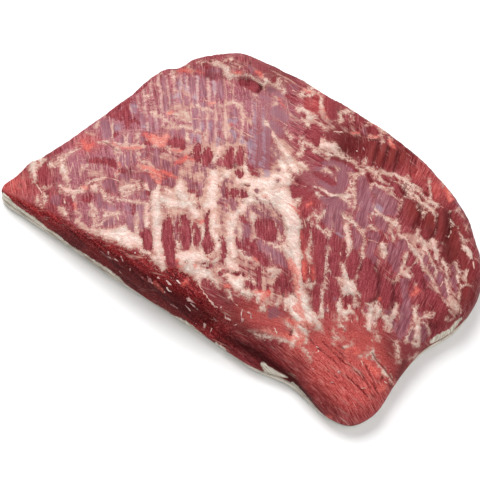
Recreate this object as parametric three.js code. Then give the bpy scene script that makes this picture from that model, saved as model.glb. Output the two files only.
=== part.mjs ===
// Raw beef brisket, whole, lying on its fat cap with the lean side up.
// Millimetres, +Z up. The origin is the middle of the footprint, on the
// surface that the meat rests on. The long side runs along X, and the thin
// end is at -X. The long cut face looks towards -Y.
import * as THREE from 'three';

// Driving sizes
const CAP_THICKNESS = 7;      // fat cap under the lean meat
const LAYER_GAP = 0.3;        // between the cap and the meat
const WIDEST_HEIGHT = 14;     // height of the slab's widest line
const UNDERCUT = 9;           // how far the rim draws in below that line
const CROWN = 10;             // extra height in the middle of the slab
const STEPS_LONG = 56;        // grid steps along the slab
const STEPS_WIDE = 36;        // grid steps across the slab
const STEPS_RIM = 7;          // rings from the widest line to the top edge
const STEPS_UNDER = 2;        // rings of meat below the widest line
const STEPS_CAP = 4;          // rings down the side of the fat cap
const RIM_SMOOTHING = 6;      // rounds of averaging along the rim

// Stations round the rim, anticlockwise from the thin front corner. Each has
// x, y     its place on the widest line
// height   height of the top edge
// inset    how far the top edge stands in from the widest line
// square   2 for a round edge, more for a squarer one
// lip      how far the fat cap stands out past the meat
const RIM = [
  [-241, -157, 18, 6, 2.6, 4],
  [-197, -162, 25, 7, 3.0, 3],
  [-136, -163, 36, 8, 3.4, 1],
  [-70, -164, 45, 10, 3.4, 2],
  [-20, -164, 51, 13, 3.2, 0],
  [44, -163, 53, 19, 2.8, -2],
  [108, -162, 48, 30, 2.4, 2],
  [146, -153, 43, 30, 2.2, 4],
  [170, -156, 37, 26, 2.2, 3],
  [196, -162, 31, 24, 2.2, 0],
  [221, -156, 28, 22, 2.2, -1],
  [232, -132, 29, 22, 2.2, -1],
  [229, -96, 32, 22, 2.2, 0],
  [227, -68, 35, 21, 2.2, 1],
  [229, -38, 37, 20, 2.2, 2],
  [238, -8, 38, 20, 2.2, 3],
  [240, 27, 38, 20, 2.2, 1],
  [232, 58, 38, 19, 2.2, 0],
  [209, 88, 39, 18, 2.2, 0],
  [171, 122, 41, 16, 2.2, 0],
  [115, 147, 44, 15, 2.2, 0],
  [44, 162, 47, 14, 2.2, 0],
  [-50, 168, 48, 14, 2.2, 1],
  [-130, 168, 46, 14, 2.2, 0],
  [-170, 161, 44, 14, 2.2, 0],
  [-196, 132, 42, 12, 2.2, 0],
  [-209, 104, 38, 10, 2.2, 0],
  [-225, 88, 33, 9, 2.2, 0],
  [-228, 30, 31, 10, 2.2, 0],
  [-232, -30, 27, 9, 2.2, 0],
  [-238, -80, 24, 8, 2.2, 1],
  [-244, -130, 20, 7, 2.4, 3],
];
// Stations where the four sides of the slab meet
const CORNERS = [0, 10, 18, 24];

// Ridges and hollows of the lean side: a start, an end, how wide each is and
// how far it stands above the surface, or below it where negative
const FORMS = [
  // the muscle band along the back, and the seam that parts it
  [-194, 112, 40, -151, 140, 45, 12, 3],
  [-151, 140, 45, -75, 146, 49, 13, 4],
  [-202, 91, 37, -164, 103, 43, 6, -3],
  [-164, 103, 43, -123, 122, 48, 6, -4],
  [-123, 122, 48, -91, 121, 50, 7, -6],
  // the thick fat seam down the middle
  [6, -14, 60, 51, -23, 61, 13, 4],
  [51, -23, 61, 102, -77, 54, 12, 5],
  [102, -77, 54, 131, -111, 46, 10, 4],
  // fat left along the edge of the cut face
  [-93, -147, 43, -35, -142, 50, 12, 2],
  [-85, -75, 50, -17, -142, 52, 8, 3],
  [-4, -133, 53, 15, -117, 56, 11, 4],
  [44, -125, 55, 88, -120, 52, 13, 3],
  // hollow between the cut face and the lip below it
  [56, -161, 36, 112, -157, 34, 15, -8],
  [112, -157, 34, 150, -148, 29, 13, -7],
  // scraps of fat and bundles of muscle towards the thick end
  [14, 80, 55, 21, 93, 55, 8, 4],
  [126, -35, 53, 147, -55, 49, 9, 3],
  [223, 16, 38, 233, 6, 30, 8, 3],
  [156, 36, 50, 183, 32, 45, 13, 2],
  [139, -20, 52, 164, -45, 47, 9, 3],
  [161, -20, 49, 184, -45, 43, 8, 3],
  [7, 108, 54, 48, 106, 54, 20, -3],
  // low dish in the thin half, and the fat tab on its end
  [-129, 21, 47, -40, 32, 57, 45, -3],
  [-235, -113, 22, -215, -127, 25, 8, 4],
];

const widestLine = new THREE.CatmullRomCurve3(
  RIM.map(([x, y]) => new THREE.Vector3(x, y, 0)), true, 'centripetal');
const pointAt = (place) => widestLine.getPoint((place / RIM.length) % 1);

// Places on the rim, counted in stations, evenly spaced along each side
function rimPlaces() {
  const FINE = 400;
  const places = [];
  CORNERS.forEach((start, side) => {
    const end = side === 3 ? RIM.length : CORNERS[side + 1];
    const steps = side % 2 === 0 ? STEPS_LONG : STEPS_WIDE;
    const lengths = [0];
    for (let i = 1; i <= FINE; i += 1) {
      const here = pointAt(start + ((end - start) * i) / FINE);
      const before = pointAt(start + ((end - start) * (i - 1)) / FINE);
      lengths.push(lengths[i - 1] + here.distanceTo(before));
    }
    for (let i = 0; i < steps; i += 1) {
      const wanted = (lengths[FINE] * i) / steps;
      const after = Math.max(1, lengths.findIndex((length) => length >= wanted));
      const share = (wanted - lengths[after - 1]) / (lengths[after] - lengths[after - 1]);
      places.push(start + ((end - start) * (after - 1 + share)) / FINE);
    }
  });
  return places;
}

// Averages each row with its neighbours round the ring, several times over
function smoothed(rows) {
  const size = rows.length;
  let now = rows;
  for (let round = 0; round < RIM_SMOOTHING; round += 1) {
    const old = now;
    now = old.map((row, i) => row.map((value, k) => (
      old[(i + size - 1) % size][k] + 2 * value + old[(i + 1) % size][k]) / 4));
  }
  return now;
}

const places = rimPlaces();
const rimCount = places.length;
const line = places.map(pointAt);
const outward = smoothed(line.map((_, i) => {
  const along = line[(i + 1) % rimCount].clone()
    .sub(line[(i + rimCount - 1) % rimCount]).normalize();
  return [along.y, -along.x];
})).map(([x, y]) => new THREE.Vector3(x, y, 0).normalize());
const edge = smoothed(places.map((place) => {
  const from = RIM[Math.floor(place) % RIM.length];
  const to = RIM[Math.floor(place + 1) % RIM.length];
  return from.slice(2).map((value, k) => THREE.MathUtils.lerp(
    value, to[k + 2], place - Math.floor(place)));
})).map(([height, inset, square, lip]) => ({ height, inset, square, lip }));

// A ring round the slab: how far in it stands and how high, at each place
const ring = (insetAt, heightAt) => line.map((point, i) => point.clone()
  .addScaledVector(outward[i], -insetAt(edge[i])).setZ(heightAt(edge[i])));

// How far the rim has drawn in at a height below the widest line
const drawnIn = (z) => UNDERCUT * (1 - Math.cos(Math.asin(1 - z / WIDEST_HEIGHT)));

// Rings of the meat, from its underside up to the top edge
function meatRings() {
  const base = CAP_THICKNESS + LAYER_GAP;
  const rings = [];
  for (let k = 0; k < STEPS_UNDER; k += 1) {
    const z = THREE.MathUtils.lerp(base, WIDEST_HEIGHT, k / STEPS_UNDER);
    rings.push(ring(() => drawnIn(z), () => z));
  }
  for (let k = 0; k <= STEPS_RIM; k += 1) {
    const angle = (Math.PI / 2) * (k / STEPS_RIM);
    rings.push(ring(
      ({ inset, square }) => inset * (1 - Math.max(0, Math.cos(angle)) ** (2 / square)),
      ({ height, square }) => WIDEST_HEIGHT
        + (height - WIDEST_HEIGHT) * Math.sin(angle) ** (2 / square)));
  }
  return rings;
}

// Rings of the fat cap, from its underside up to the meat
function capRings() {
  const rings = [];
  for (let k = 0; k <= STEPS_CAP; k += 1) {
    const z = (CAP_THICKNESS * k) / STEPS_CAP;
    const bulge = Math.sqrt(Math.sin(Math.PI * (k / STEPS_CAP)));
    rings.push(ring(({ lip }) => drawnIn(z) - lip * (bulge || 0), () => z));
  }
  return rings;
}

// Corners of the grid are the ring's four corners; row and column to ring index
const ringIndex = (i, j) => {
  if (j === 0) return i;
  if (i === STEPS_LONG) return STEPS_LONG + j;
  if (j === STEPS_WIDE) return STEPS_LONG + STEPS_WIDE + (STEPS_LONG - i);
  if (i === 0) return 2 * STEPS_LONG + STEPS_WIDE + (STEPS_WIDE - j);
  return -1;
};

// A point of the top: the four edges blended across the grid, and the crown
function topPoint(top, i, j) {
  const u = i / STEPS_LONG;
  const v = j / STEPS_WIDE;
  const at = (a, b) => top[ringIndex(a, b)];
  const point = new THREE.Vector3();
  point.addScaledVector(at(i, 0), 1 - v).addScaledVector(at(i, STEPS_WIDE), v);
  point.addScaledVector(at(0, j), 1 - u).addScaledVector(at(STEPS_LONG, j), u);
  point.addScaledVector(at(0, 0), -(1 - u) * (1 - v));
  point.addScaledVector(at(STEPS_LONG, 0), -u * (1 - v));
  point.addScaledVector(at(0, STEPS_WIDE), -(1 - u) * v);
  point.addScaledVector(at(STEPS_LONG, STEPS_WIDE), -u * v);
  point.z += CROWN * 16 * u * (1 - u) * v * (1 - v);
  return point;
}

// Triangles that fill a flat ring, facing up or down
function fill(ringPoints, first, faceUp) {
  const flat = ringPoints.map(({ x, y }) => new THREE.Vector2(x, y));
  return THREE.ShapeUtils.triangulateShape(flat, []).flatMap(([a, b, c]) => (
    faceUp ? [first + a, first + b, first + c] : [first + a, first + c, first + b]));
}

// Triangles of the wall that joins each ring to the one above it
function wall(ringStarts, indexAbove) {
  const faces = [];
  ringStarts.forEach((start, level) => {
    const above = level + 1 < ringStarts.length
      ? (i) => ringStarts[level + 1] + i : indexAbove;
    if (!above) return;
    for (let i = 0; i < rimCount; i += 1) {
      const next = (i + 1) % rimCount;
      faces.push(start + i, start + next, above(next));
      faces.push(start + i, above(next), above(i));
    }
  });
  return faces;
}

function geometryOf(points, faces) {
  const geometry = new THREE.BufferGeometry();
  geometry.setFromPoints(points);
  geometry.setIndex(faces);
  return geometry;
}

// Lean meat: a wall of rings, a top grid that the last ring bounds, a flat base
function meatGeometry() {
  const rings = meatRings();
  const top = rings.pop();
  const points = rings.flat();
  const gridStart = points.length;
  const gridIndex = (i, j) => gridStart + j * (STEPS_LONG + 1) + i;
  const onGrid = new Map();
  for (let j = 0; j <= STEPS_WIDE; j += 1) {
    for (let i = 0; i <= STEPS_LONG; i += 1) {
      const rimPlace = ringIndex(i, j) % rimCount;
      if (rimPlace >= 0) onGrid.set(rimPlace, gridIndex(i, j));
      points.push(rimPlace >= 0 ? top[rimPlace].clone() : topPoint(top, i, j));
    }
  }
  const faces = fill(rings[0], 0, false);
  const starts = rings.map((_, level) => level * rimCount);
  faces.push(...wall(starts, (i) => onGrid.get(i)));
  for (let j = 0; j < STEPS_WIDE; j += 1) {
    for (let i = 0; i < STEPS_LONG; i += 1) {
      const [a, b] = [gridIndex(i, j), gridIndex(i + 1, j)];
      const [c, d] = [gridIndex(i + 1, j + 1), gridIndex(i, j + 1)];
      faces.push(a, b, c, a, c, d);
    }
  }
  const geometry = geometryOf(points, faces);
  addForms(geometry);
  return geometry;
}

// Moves each point along the surface's own direction by the forms near it,
// each fading out as a bell curve, with nothing moved below the widest line
function addForms(geometry) {
  geometry.computeVertexNormals();
  const position = geometry.getAttribute('position');
  const normals = geometry.getAttribute('normal');
  const point = new THREE.Vector3();
  const normal = new THREE.Vector3();
  const nearest = new THREE.Vector3();
  const shapes = FORMS.map(([ax, ay, az, bx, by, bz, width, height]) => ({
    line: new THREE.Line3(new THREE.Vector3(ax, ay, az), new THREE.Vector3(bx, by, bz)),
    width,
    height,
  }));
  for (let i = 0; i < position.count; i += 1) {
    point.fromBufferAttribute(position, i);
    normal.fromBufferAttribute(normals, i);
    let rise = 0;
    shapes.forEach((shape) => {
      shape.line.closestPointToPoint(point, true, nearest);
      rise += shape.height * Math.exp(-((nearest.distanceTo(point) / shape.width) ** 2));
    });
    rise *= THREE.MathUtils.smoothstep(point.z, WIDEST_HEIGHT - 2, WIDEST_HEIGHT + 8);
    point.addScaledVector(normal, rise);
    position.setXYZ(i, point.x, point.y, point.z);
  }
}

// Fat cap: a low wall between two flat faces
function capGeometry() {
  const rings = capRings();
  const starts = rings.map((_, level) => level * rimCount);
  const faces = fill(rings[0], 0, false);
  faces.push(...wall(starts), ...fill(rings[STEPS_CAP], starts[STEPS_CAP], true));
  return geometryOf(rings.flat(), faces);
}

const leanMeat = new THREE.MeshStandardMaterial({
  color: 0x9b4048, roughness: 0.42, metalness: 0 });
const capFat = new THREE.MeshStandardMaterial({
  color: 0xe6d3c0, roughness: 0.5, metalness: 0 });

const lean = new THREE.Mesh(meatGeometry(), leanMeat);
lean.name = 'lean';
const fatCap = new THREE.Mesh(capGeometry(), capFat);
fatCap.name = 'fat_cap';

const brisket = new THREE.Group();
brisket.add(lean, fatCap);

// The origin goes under the middle of the whole slab
const middle = new THREE.Box3().setFromObject(brisket).getCenter(new THREE.Vector3());
[lean, fatCap].forEach((mesh) => {
  mesh.geometry.deleteAttribute('normal');
  mesh.geometry.translate(-middle.x, -middle.y, 0);
  mesh.geometry.computeVertexNormals();
});

export default brisket;
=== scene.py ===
"""Raw beef brisket: a slab of lean meat with silverskin, fat seams and muscle grain, on its fat cap."""
from math import cos, pi, radians, sin

import bpy
import numpy as np
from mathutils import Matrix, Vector


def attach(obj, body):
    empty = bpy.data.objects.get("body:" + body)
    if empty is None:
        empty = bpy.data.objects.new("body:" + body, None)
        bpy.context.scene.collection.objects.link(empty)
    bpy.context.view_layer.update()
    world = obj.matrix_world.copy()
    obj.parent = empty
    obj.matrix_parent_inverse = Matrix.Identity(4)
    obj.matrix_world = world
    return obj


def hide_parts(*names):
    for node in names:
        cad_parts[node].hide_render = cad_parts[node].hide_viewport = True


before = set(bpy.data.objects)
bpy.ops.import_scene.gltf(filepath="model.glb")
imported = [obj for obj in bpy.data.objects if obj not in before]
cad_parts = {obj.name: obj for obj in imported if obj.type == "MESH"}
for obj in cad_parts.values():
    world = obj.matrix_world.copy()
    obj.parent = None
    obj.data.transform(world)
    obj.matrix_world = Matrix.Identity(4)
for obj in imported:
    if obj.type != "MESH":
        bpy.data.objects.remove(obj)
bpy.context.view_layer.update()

bl_info = {
    "name": "Raw beef brisket",
    "version": (1, 0, 0),
    "blender": (4, 5, 0),
    "location": "3D View > Sidebar > Brisket",
    "description": "Builds a raw beef brisket, lean side up on its fat cap",
    "category": "Add Mesh",
}

MM = 0.001

# ---------------------------------------------------------------- slab, in millimetres
CAP_THICKNESS = 7.0
LAYER_GAP = 0.3
WIDEST_HEIGHT = 14.0
UNDERCUT = 9.0
CROWN = 10.0
FRAME_STEPS_LONG, FRAME_STEPS_WIDE = 56, 36
RIM_SMOOTHING = 6           # rounds of averaging at the frame's own steps
CAP_RINGS = 9
RIND_FADES = (24, 34)       # heights between which the cap's lapping edge ends
BUNDLE_WIDTH, BUNDLE_LENGTH = 5, 34
HALF_LENGTH = 200.0         # turns an angle round the slab into a way along it

# Stations round the rim, anticlockwise from the thin front corner: x, y of the widest line,
# height of the top edge, how far that edge stands in, squareness of the edge, and the lip,
# which is how far the fat cap stands out past the meat.
RIM = np.array([
    (-241, -157, 18, 6, 2.6, 4),
    (-197, -162, 25, 7, 3.0, 3),
    (-136, -163, 36, 8, 3.4, 1),
    (-70, -164, 45, 10, 3.4, 2),
    (-20, -164, 51, 13, 3.2, 0),
    (44, -163, 53, 19, 2.8, -2),
    (108, -162, 48, 30, 2.4, 2),
    (146, -153, 43, 30, 2.2, 4),
    (170, -156, 37, 26, 2.2, 3),
    (196, -162, 31, 24, 2.2, 0),
    (221, -156, 28, 22, 2.2, -1),
    (232, -132, 29, 22, 2.2, -1),
    (229, -96, 32, 22, 2.2, 0),
    (227, -68, 35, 21, 2.2, 1),
    (229, -38, 37, 20, 2.2, 2),
    (238, -8, 38, 20, 2.2, 3),
    (240, 27, 38, 20, 2.2, 1),
    (232, 58, 38, 19, 2.2, 0),
    (209, 88, 39, 18, 2.2, 0),
    (171, 122, 41, 16, 2.2, 0),
    (115, 147, 44, 15, 2.2, 0),
    (44, 162, 47, 14, 2.2, 0),
    (-50, 168, 48, 14, 2.2, 1),
    (-130, 168, 46, 14, 2.2, 0),
    (-170, 161, 44, 14, 2.2, 0),
    (-196, 132, 42, 12, 2.2, 0),
    (-209, 104, 38, 10, 2.2, 0),
    (-225, 88, 33, 9, 2.2, 0),
    (-228, 30, 31, 10, 2.2, 0),
    (-232, -30, 27, 9, 2.2, 0),
    (-238, -80, 24, 8, 2.2, 1),
    (-244, -130, 20, 7, 2.4, 3),
])
CORNERS = (0, 10, 18, 24)

# Ridges and hollows of the lean side: start, end, width, and height above the surface
FORMS = np.array([
    (-194, 112, 40, -151, 140, 45, 12, 3),
    (-151, 140, 45, -75, 146, 49, 13, 4),
    (-202, 91, 37, -164, 103, 43, 6, -3),
    (-164, 103, 43, -123, 122, 48, 6, -4),
    (-123, 122, 48, -91, 121, 50, 7, -6),
    (6, -14, 60, 51, -23, 61, 13, 4),
    (51, -23, 61, 102, -77, 54, 12, 5),
    (102, -77, 54, 131, -111, 46, 10, 4),
    (-93, -147, 43, -35, -142, 50, 12, 2),
    (-85, -75, 50, -17, -142, 52, 8, 3),
    (-4, -133, 53, 15, -117, 56, 11, 4),
    (44, -125, 55, 88, -120, 52, 13, 3),
    (56, -161, 36, 112, -157, 34, 15, -8),
    (112, -157, 34, 150, -148, 29, 13, -7),
    (14, 80, 55, 21, 93, 55, 8, 4),
    (126, -35, 53, 147, -55, 49, 9, 3),
    (223, 16, 38, 233, 6, 30, 8, 3),
    (156, 36, 50, 183, 32, 45, 13, 2),
    (139, -20, 52, 164, -45, 47, 9, 3),
    (161, -20, 49, 184, -45, 43, 8, 3),
    (7, 108, 54, 48, 106, 54, 20, -3),
    (-129, 21, 47, -40, 32, 57, 45, -3),
    (-235, -113, 22, -215, -127, 25, 8, 4),
])

# ---------------------------------------------------------------- the view
# Lens and sensor in millimetres, the view's side in pixels, angles in degrees, the rest in metres
LENS, SENSOR, VIEW_PIXELS = 85.0, 36.0, 480
AZIMUTH, ELEVATION, DISTANCE = 38.8, 50.0, 1.165
AIM = np.array([0.0143, -0.0610, 0.030])
BACK = np.array([
    sin(radians(AZIMUTH)) * cos(radians(ELEVATION)),
    -cos(radians(AZIMUTH)) * cos(radians(ELEVATION)),
    sin(radians(ELEVATION)),
])
RIGHT = np.array([cos(radians(AZIMUTH)), sin(radians(AZIMUTH)), 0.0])
UP = np.cross(BACK, RIGHT)
EYE = AIM + BACK * DISTANCE

# ---------------------------------------------------------------- where the tissues lie
# Pixels of the 480 x 480 view: each stroke is a run of x, y, half width. They are carried
# onto the slab along the lines of sight, so that they stay on its surface from any side.
# Firm cream fat: sheets, lumps and seams
FAT = {"back": [
    (187,66,1,188,69,1,192,71,.8), (199,63,.8,203,63,.8), (213,62,1.5,219,65,2.5,226,69,2.5,228,74,3.5),
    (227,59,.8,231,60,.8),
], "columns": [
    (166,149,.8,180,149,1), (123,231,4,131,237,4,138,240,4), (137,206,1,138,218,1.2,136,228,2,135,238,2),
    (147,204,2,147,215,3.5,147,224,3), (156,188,4,157,205,5,157,225,5,157,245,4.5,160,258,4,163,267,3),
    (231,215,3,236,222,3,232,229,3), (197,229,1,201,226,1.5,203,230,1),
    (173,222,.8,175,235,1.3,178,245,1.8,179,252,2), (179,232,1,182,246,1.4),
    (192,222,1,192,236,1.6,193,250,2), (202,224,2,204,231,2.3,202,242,1.5,201,252,2),
    (212,222,3,213,232,4.5,218,240,3,217,250,2.5), (217,226,4), (229,222,3.5,231,235,5,232,247,5,233,255,4),
], "lump": [
    (181,256,5,190,257,7,200,257,6,205,262,5), (183,264,5,192,268,6,200,272,6,208,274,4),
    (198,278,3,199,283,1), (199,284,.7,201,289,.6,206,295,.5,210,301,.6,214,305,.6,218,308,.5),
    (211,277,3,215,281,2.5,218,286,1.5), (214,262,3,219,258,2), (226,257,2.5,231,264,5,234,270,4),
    (222,276,1.5,228,276,2.5,234,281,5), (238,283,7,240,279,5), (247,279,1.5,252,280,1.8,254,283,.8),
    (244,292,4,249,294,3.5,247,298,1.5), (229,291,1.5,230,296,1.5), (231,297,.6,234,303,.6,238,306,.4),
    (256,293,3.5,262,296,4,258,299,2.5), (264,303,1.5,265,308,1), (221,309,.6), (225,316,.7,227,319,.7),
    (164,258,2.5), (220,268,1.2,218,271,1.2), (203,251,1.5,212,256,1.2),
], "rear": [
    (302,95,1.8,305,91,1.2,311,89.5,1.8,317,88.5,1), (303,96,1,309,95,1.5,313,93,1.2),
    (320.5,96,1,321.5,104,1.8,322,111,2), (318.5,93,.9), (299,110,2,303,108,2,307,113,2,310,118,3,314,117,2),
    (302,119,1.2,308,124,2,310,127,1), (340,112,1,342,117,1.5,340,121,.7),
    (342,111,1,346,112,2,350,111,1.5,352,109,1), (349,114,1,351,118,.8), (319,124,.6,326,128,.8),
    (333,131.5,.5,344,132,.7), (302,138,1,303,150,1.5,299,155,2), (305,142,1,312,146,1.2,318,151,1),
], "main seam": [
    (257,198,4,268,201,5,279,205,7,288,212,8,293,222,8.5,293,235,8,295,250,6.5,297,263,5,299,280,5,301,300,
     5,303,315,5,304,330,3,305,343,1.5),
    (284,246,3,290,255,5,295,266,4), (270,270,2.5,276,271,2.5,272,277,2), (287,300,3,285,310,1),
    (278,301,1.5,276,305,.8), (263,308,2), (286,322,2,296,331,1.5),
], "right clumps": [
    (369,123,.7,376,123,.8,379,127,1.3,383,131,2), (369,137,.7,376,137,.9,380,135,1),
    (411,358,.8,416,356,.7,420,355,.6), (397,342,.7,398,350,.9,398,362,.7),
], "sheet": [
    (214,174,5,213,190,6,211,205,6), (240,180,5,252,184,6,266,184,8,284,178,8),
    (248,198,6,262,196,8,282,196,9,290,206,7), (244,207,5,236,214,4,231,226,4), (228,172,4,222,178,4),
    (243,160,1,247,174,3,240,181,3), (272,134,1.5,280,144,2,288,158,3.5,295,170,4), (283,166,5,288,182,4),
    (278,152,2.5,282,163,3), (180,184,4,179,191,6,185,198,6), (163,200,5,175,204,5,190,204,5,196,213,5),
    (155,192,3,154,202,4,155,215,5), (192,197,2,195,194,2), (204,204,3,206,210,2), (165,189,2,172,194,3),
    (219,148,2.5,218,156,2.5,214,160,2.5), (236,148,1,235,156,1), (214,216,4,214,228,4),
    (286,160,1.5,293,164,1,301,170,1), (300,164,2,306,168,1), (301,197,1.2,297,202,1.8),
    (291,182,.7,299,185,.6,307,187,.6), (152,176,.6,156,180,.8,158.5,184,.8), (152,174,.5,148,172,.4),
    (273,104,.8,278,103,.7), (272,120,.4,280,121,.4,288,126,.6), (284,130,.5,291,138,.8),
    (137,95,.4,138,108,.5), (126.5,101,1.2), (105,115,.8,108,114.5,.7), (98,122,.6,97,127,.8),
    (194,227,.7,197,224,.9,200,225,.7),
], "right": [
    (322,140,2.5,321,144,2.5,326,146,4,332,147,4,335,149,3,336,152,2.5),
    (319,150,1,325,152,1.5,331,155,1.5,337,154,2,342,158,1.5,348,158,1.2),
    (338,152,1.8,342,156,1.5,345,159,1), (345,158.5,1.2,350,161,1,355,164,1,359,168,.8),
    (329,159,1.5,330,163,1.5), (333,165,.6,338,167,.8,341,170,.5), (322,167,.8,327,169,1,331,173,.8),
    (315,150,2,319,153,1.2,321,156,.8), (325,171,.6,325,177,.5), (336,176,.6,336,182,.5),
    (347,173,.6,352,177,.8), (352,172,.8,357,175,1.2,363,178,.7), (353,177,.8,358,179,.7),
    (360,169,1,362,171,1.8,364,174,1), (363,164,.8,366,161,.8,367,159,.5),
    (364,167,1.2,368,168,1,372,172,1,376,175,1),
    (370,167,.8,374,171,.9,378,173,1,382,172,1.1,388,173,1.1,394,175,1.3,401,177,1.7,406,179,1.3,409,183,
     1.5,415,186,1.6),
    (376,176,1,379,180,1.2,383,183,1.1,388,184,.9,391,184,.7), (379,175,.8,382,178,.7,380,180,.7),
    (371,183,.9,375,184,.9,379,187,1.2,384,188,1.3,388,191,.9,392,194,.8,397,197,.7,402,200,.9),
    (389,188,.9,393,187,1.1,397,188,.9), (391,191,.5,396,195,.5), (393,181,.6,398,183,.6),
    (400,182,.9,404,186,1.1,407,190,1.1,411,193,1.6,415,195,1.7), (403,180,.9,407,182,1.5,410,184,1),
    (404,194,.8,407,196,1.1,411,198,.9,414,199,.7), (402,200,1,404,203,.8,402,206,.5),
    (370,188,.8,372,190,.6,377,194,.5,382,199,.5,386,202,.4), (350,180,1.2,351,184,1.1,354,182,.9),
    (349,187,.9,352,190,1.1,356,189,.9), (355,192,.9,357,196,1.1,353,194,.9),
    (315,187,1.1,320,190,1.3,326,192,1.4,331,195,1.5,336,196,1.6,342,194,2.1,348,196,2.3,352,195,1.1),
    (341,191,1.1,345,192,1.1), (338,196,1.3,344,199,1.6,348,203,1.9,350,206,1.1),
    (317,194,1.2,322,197,1.6,325,199,1.1), (383,142,.9,383,147,1.8,384,150,1.2), (390,139,1.2,391,143,1),
    (370,204,.7,373,207,1.1,377,211,1.6,381,214,1.1), (356,200,.6,354,206,.8),
    (309,212,1,309,220,.9,310,228,.8,311,236,.7,309,244,.8,308,252,.9,309,258,1,311,262,.9),
    (304,219,.4,306,228,.4), (314,213,1.1,317,217,1.1,322,216,2,324,213,1.6),
    (317,222,.7,316,226,.9,319,228,.8,323,232,.8,326,234,1.3,329,237,1.1),
    (326,229,1.6,328,232,1.6,330,238,.9), (332,221,.7,332,227,1,331,231,1.1),
    (340,212,1.6,345,216,1.6,350,220,1.6,355,224,1.3,359,229,.9,362,232,.7),
    (347,224,2,347,232,2.8,348,240,3,349,246,2.8,350,252,1.8,347,256,.9,345,262,.9),
    (343,265,1.5,344,271,2.5,346,278,4,349,285,6,349,290,7),
    (363,229,.9,364,236,.8,363,244,1.1,363,250,1.9,363,257,1.7,362,261,.7,360,268,.5,358,276,.6),
    (357,272,.9,357,279,.7), (369,226,.9,372,228,1.1,376,230,.7), (370,217,.5,372,221,.5),
    (372,213,1.6,378,214,1.6,384,217,1.1,390,221,1.1,395,225,.9), (368,240,.6,374,241,.5,378,243,.5),
    (381,245,1.5,384,248,2.5,386,252,2.5,384,257,1.3), (386,236,.5,388,240,.5), (391,233,.9,394,238,.9),
    (326,246,.8,328,248,.8,327,254,1.1,327,260,.9,328,264,.6),
    (325,265,1.1,326,268,1.1,324,272,.9,324,278,.8,324,284,1,323,290,1.1),
    (326,277,.5,329,282,.6,331,283,.5),
    (327,272,.9,332,272,1.3,334,276,1.1,338,278,.9,340,282,1.3,341,287,1.6),
    (308,280,1,308,286,1.3,312,286,1.1,315,282,.7,316,276,.5), (309,266,.4,310,275,.4),
    (340,252,.5,341,256,.6), (345,250,.5,347,253,.6), (407,182,1.4,413,184,1.3,419,187,1.6,425,190,.9),
    (408,187,1.1,414,189,1.1,420,191,1.3,423,194,1.1,424,197,1.3,427,199,1.3,432,201,1.6,436,205,2,438,206,
     1),
    (411,193,1.9,415,195,1.3,418,198,1,421,202,.9,424,206,1.1),
    (427,204,1.1,428,207,2.6,431,210,2,433,213,.9), (428,210,1.1,426,213,.9),
    (417,207,.5,421,211,.6,424,215,.9), (429,180,1.1,429,186,.8,430,191,.8,431,196,1.1),
    (431,199,1.1,430,203,1.1), (436,216,1,436,222,1,436,228,.9,434,232,1), (440,206,.6,444,208,.5),
    (448,211,.9,454,212,1,458,211,1), (449,218,1,450,221,1.3,453,224,.9), (452,226,.7,454,227,.6),
    (457,227,.9,460,230,1.2,462,234,1.6,464,239,1.7,468,241,1),
    (463,247,2,467,250,2.6,471,255,2.3,472,259,.9), (473,261,.5,474,269,.7), (466,271,1.3,467,274,1.6),
    (464,277,1.1,467,281,.9,470,286,.9), (465,284,.6,461,286,.6,460,292,.8,459,297,1.1),
    (455,262,1.1,457,267,.9,459,272,1.6,457,277,1.6,458,281,.7), (395,221,1.3,397,226,1.3,398,229,.9),
    (396,282,1.3,398,277,1,401,273,.8), (443,184,1.3,443,188,1.1), (450,193,1.6,449,197,1.3),
], "low": [
    (415,309,1.6,415,315,2.4,415,321,1.6),
    (419,323,1.3,418,328,3,417,335,3,418,341,1.7,418,345,2,413,343,1.1), (413,323,.9,411,331,.9,407,339,1.3),
    (420,320,1,423,317,1.3,428,315,1.3,433,315,1.1), (424,322,.9,427,328,.9,429,332,.8),
    (427,318,.5,434,318,.5), (402,314,.9,401,318,1.1), (397,303,1,396,307,1.3), (446,317,.9,446,319,.8),
    (449,321,.9,454,319,.8), (460,308,.6,461,314,.6), (301,290,4,304,300,6,305,310,7,308,317,6,311,322,5),
    (314,318,4,318,326,3,321,330,1.2), (322,290,1,322,297,1,322,302,1,322,308,2,322,314,3,318,318,2),
    (327,304,.5,329,312,.6), (326,309,.4,328,312,.4), (341,288,1.5,346,288,2.5,352,290,4,355,293,2),
    (340,300,2,339,305,3,340,310,3.5,345,313,3,350,311,3,350,306,1.5), (340,316,1.5,346,318,1), (348,304,.7),
    (338,318,1,339,322,.9), (340,323,.8,344,328,.8), (355,297,1,355,302,1.6,356,306,1.6,359,307,1),
    (358,293,.8,361,296,.7), (361,309,.6,365,314,.8), (358,316,.8,358,318,.8),
    (367,304,1.5,371,305,2.5,371,311,4,370,318,4,369,325,3,370,331,1),
    (376,306,2.5,379,311,3,376,316,2.5,381,310,2), (378,303,1,381,306,.9,385,310,1), (374,318,2,374,324,1.6),
    (384,317,1.6,388,319,3,389,325,3.5,391,318,3,394,312,3,396,306,1.6), (386,328,1.3,391,330,1),
    (351,319,.6,352,323,.5),
], "left": [
    (34,160,3,34,167,4,34,174,2.5,35,181,1.5), (40,160,2.5,43,161,2.3,41,166,1.5),
    (36,184,.6,40,190,.7,42,193,.6), (49.5,164.5,1.7,55,165,1.7),
    (57,164,.9,62,161,1.2,66,157,1.1,70,152,1.1,77,149,.6), (60,157,1,63,155,.8),
    (62,167,2.2,64,171,3,66,175,2,68,180,.6,68,184,.5), (43,187,1,47,185,1.2), (38,198,1.6,40,202,1.3),
    (43,194,1.1,45,198,1.2), (47,200,.8,44,204,.7,40,205,.7),
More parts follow.
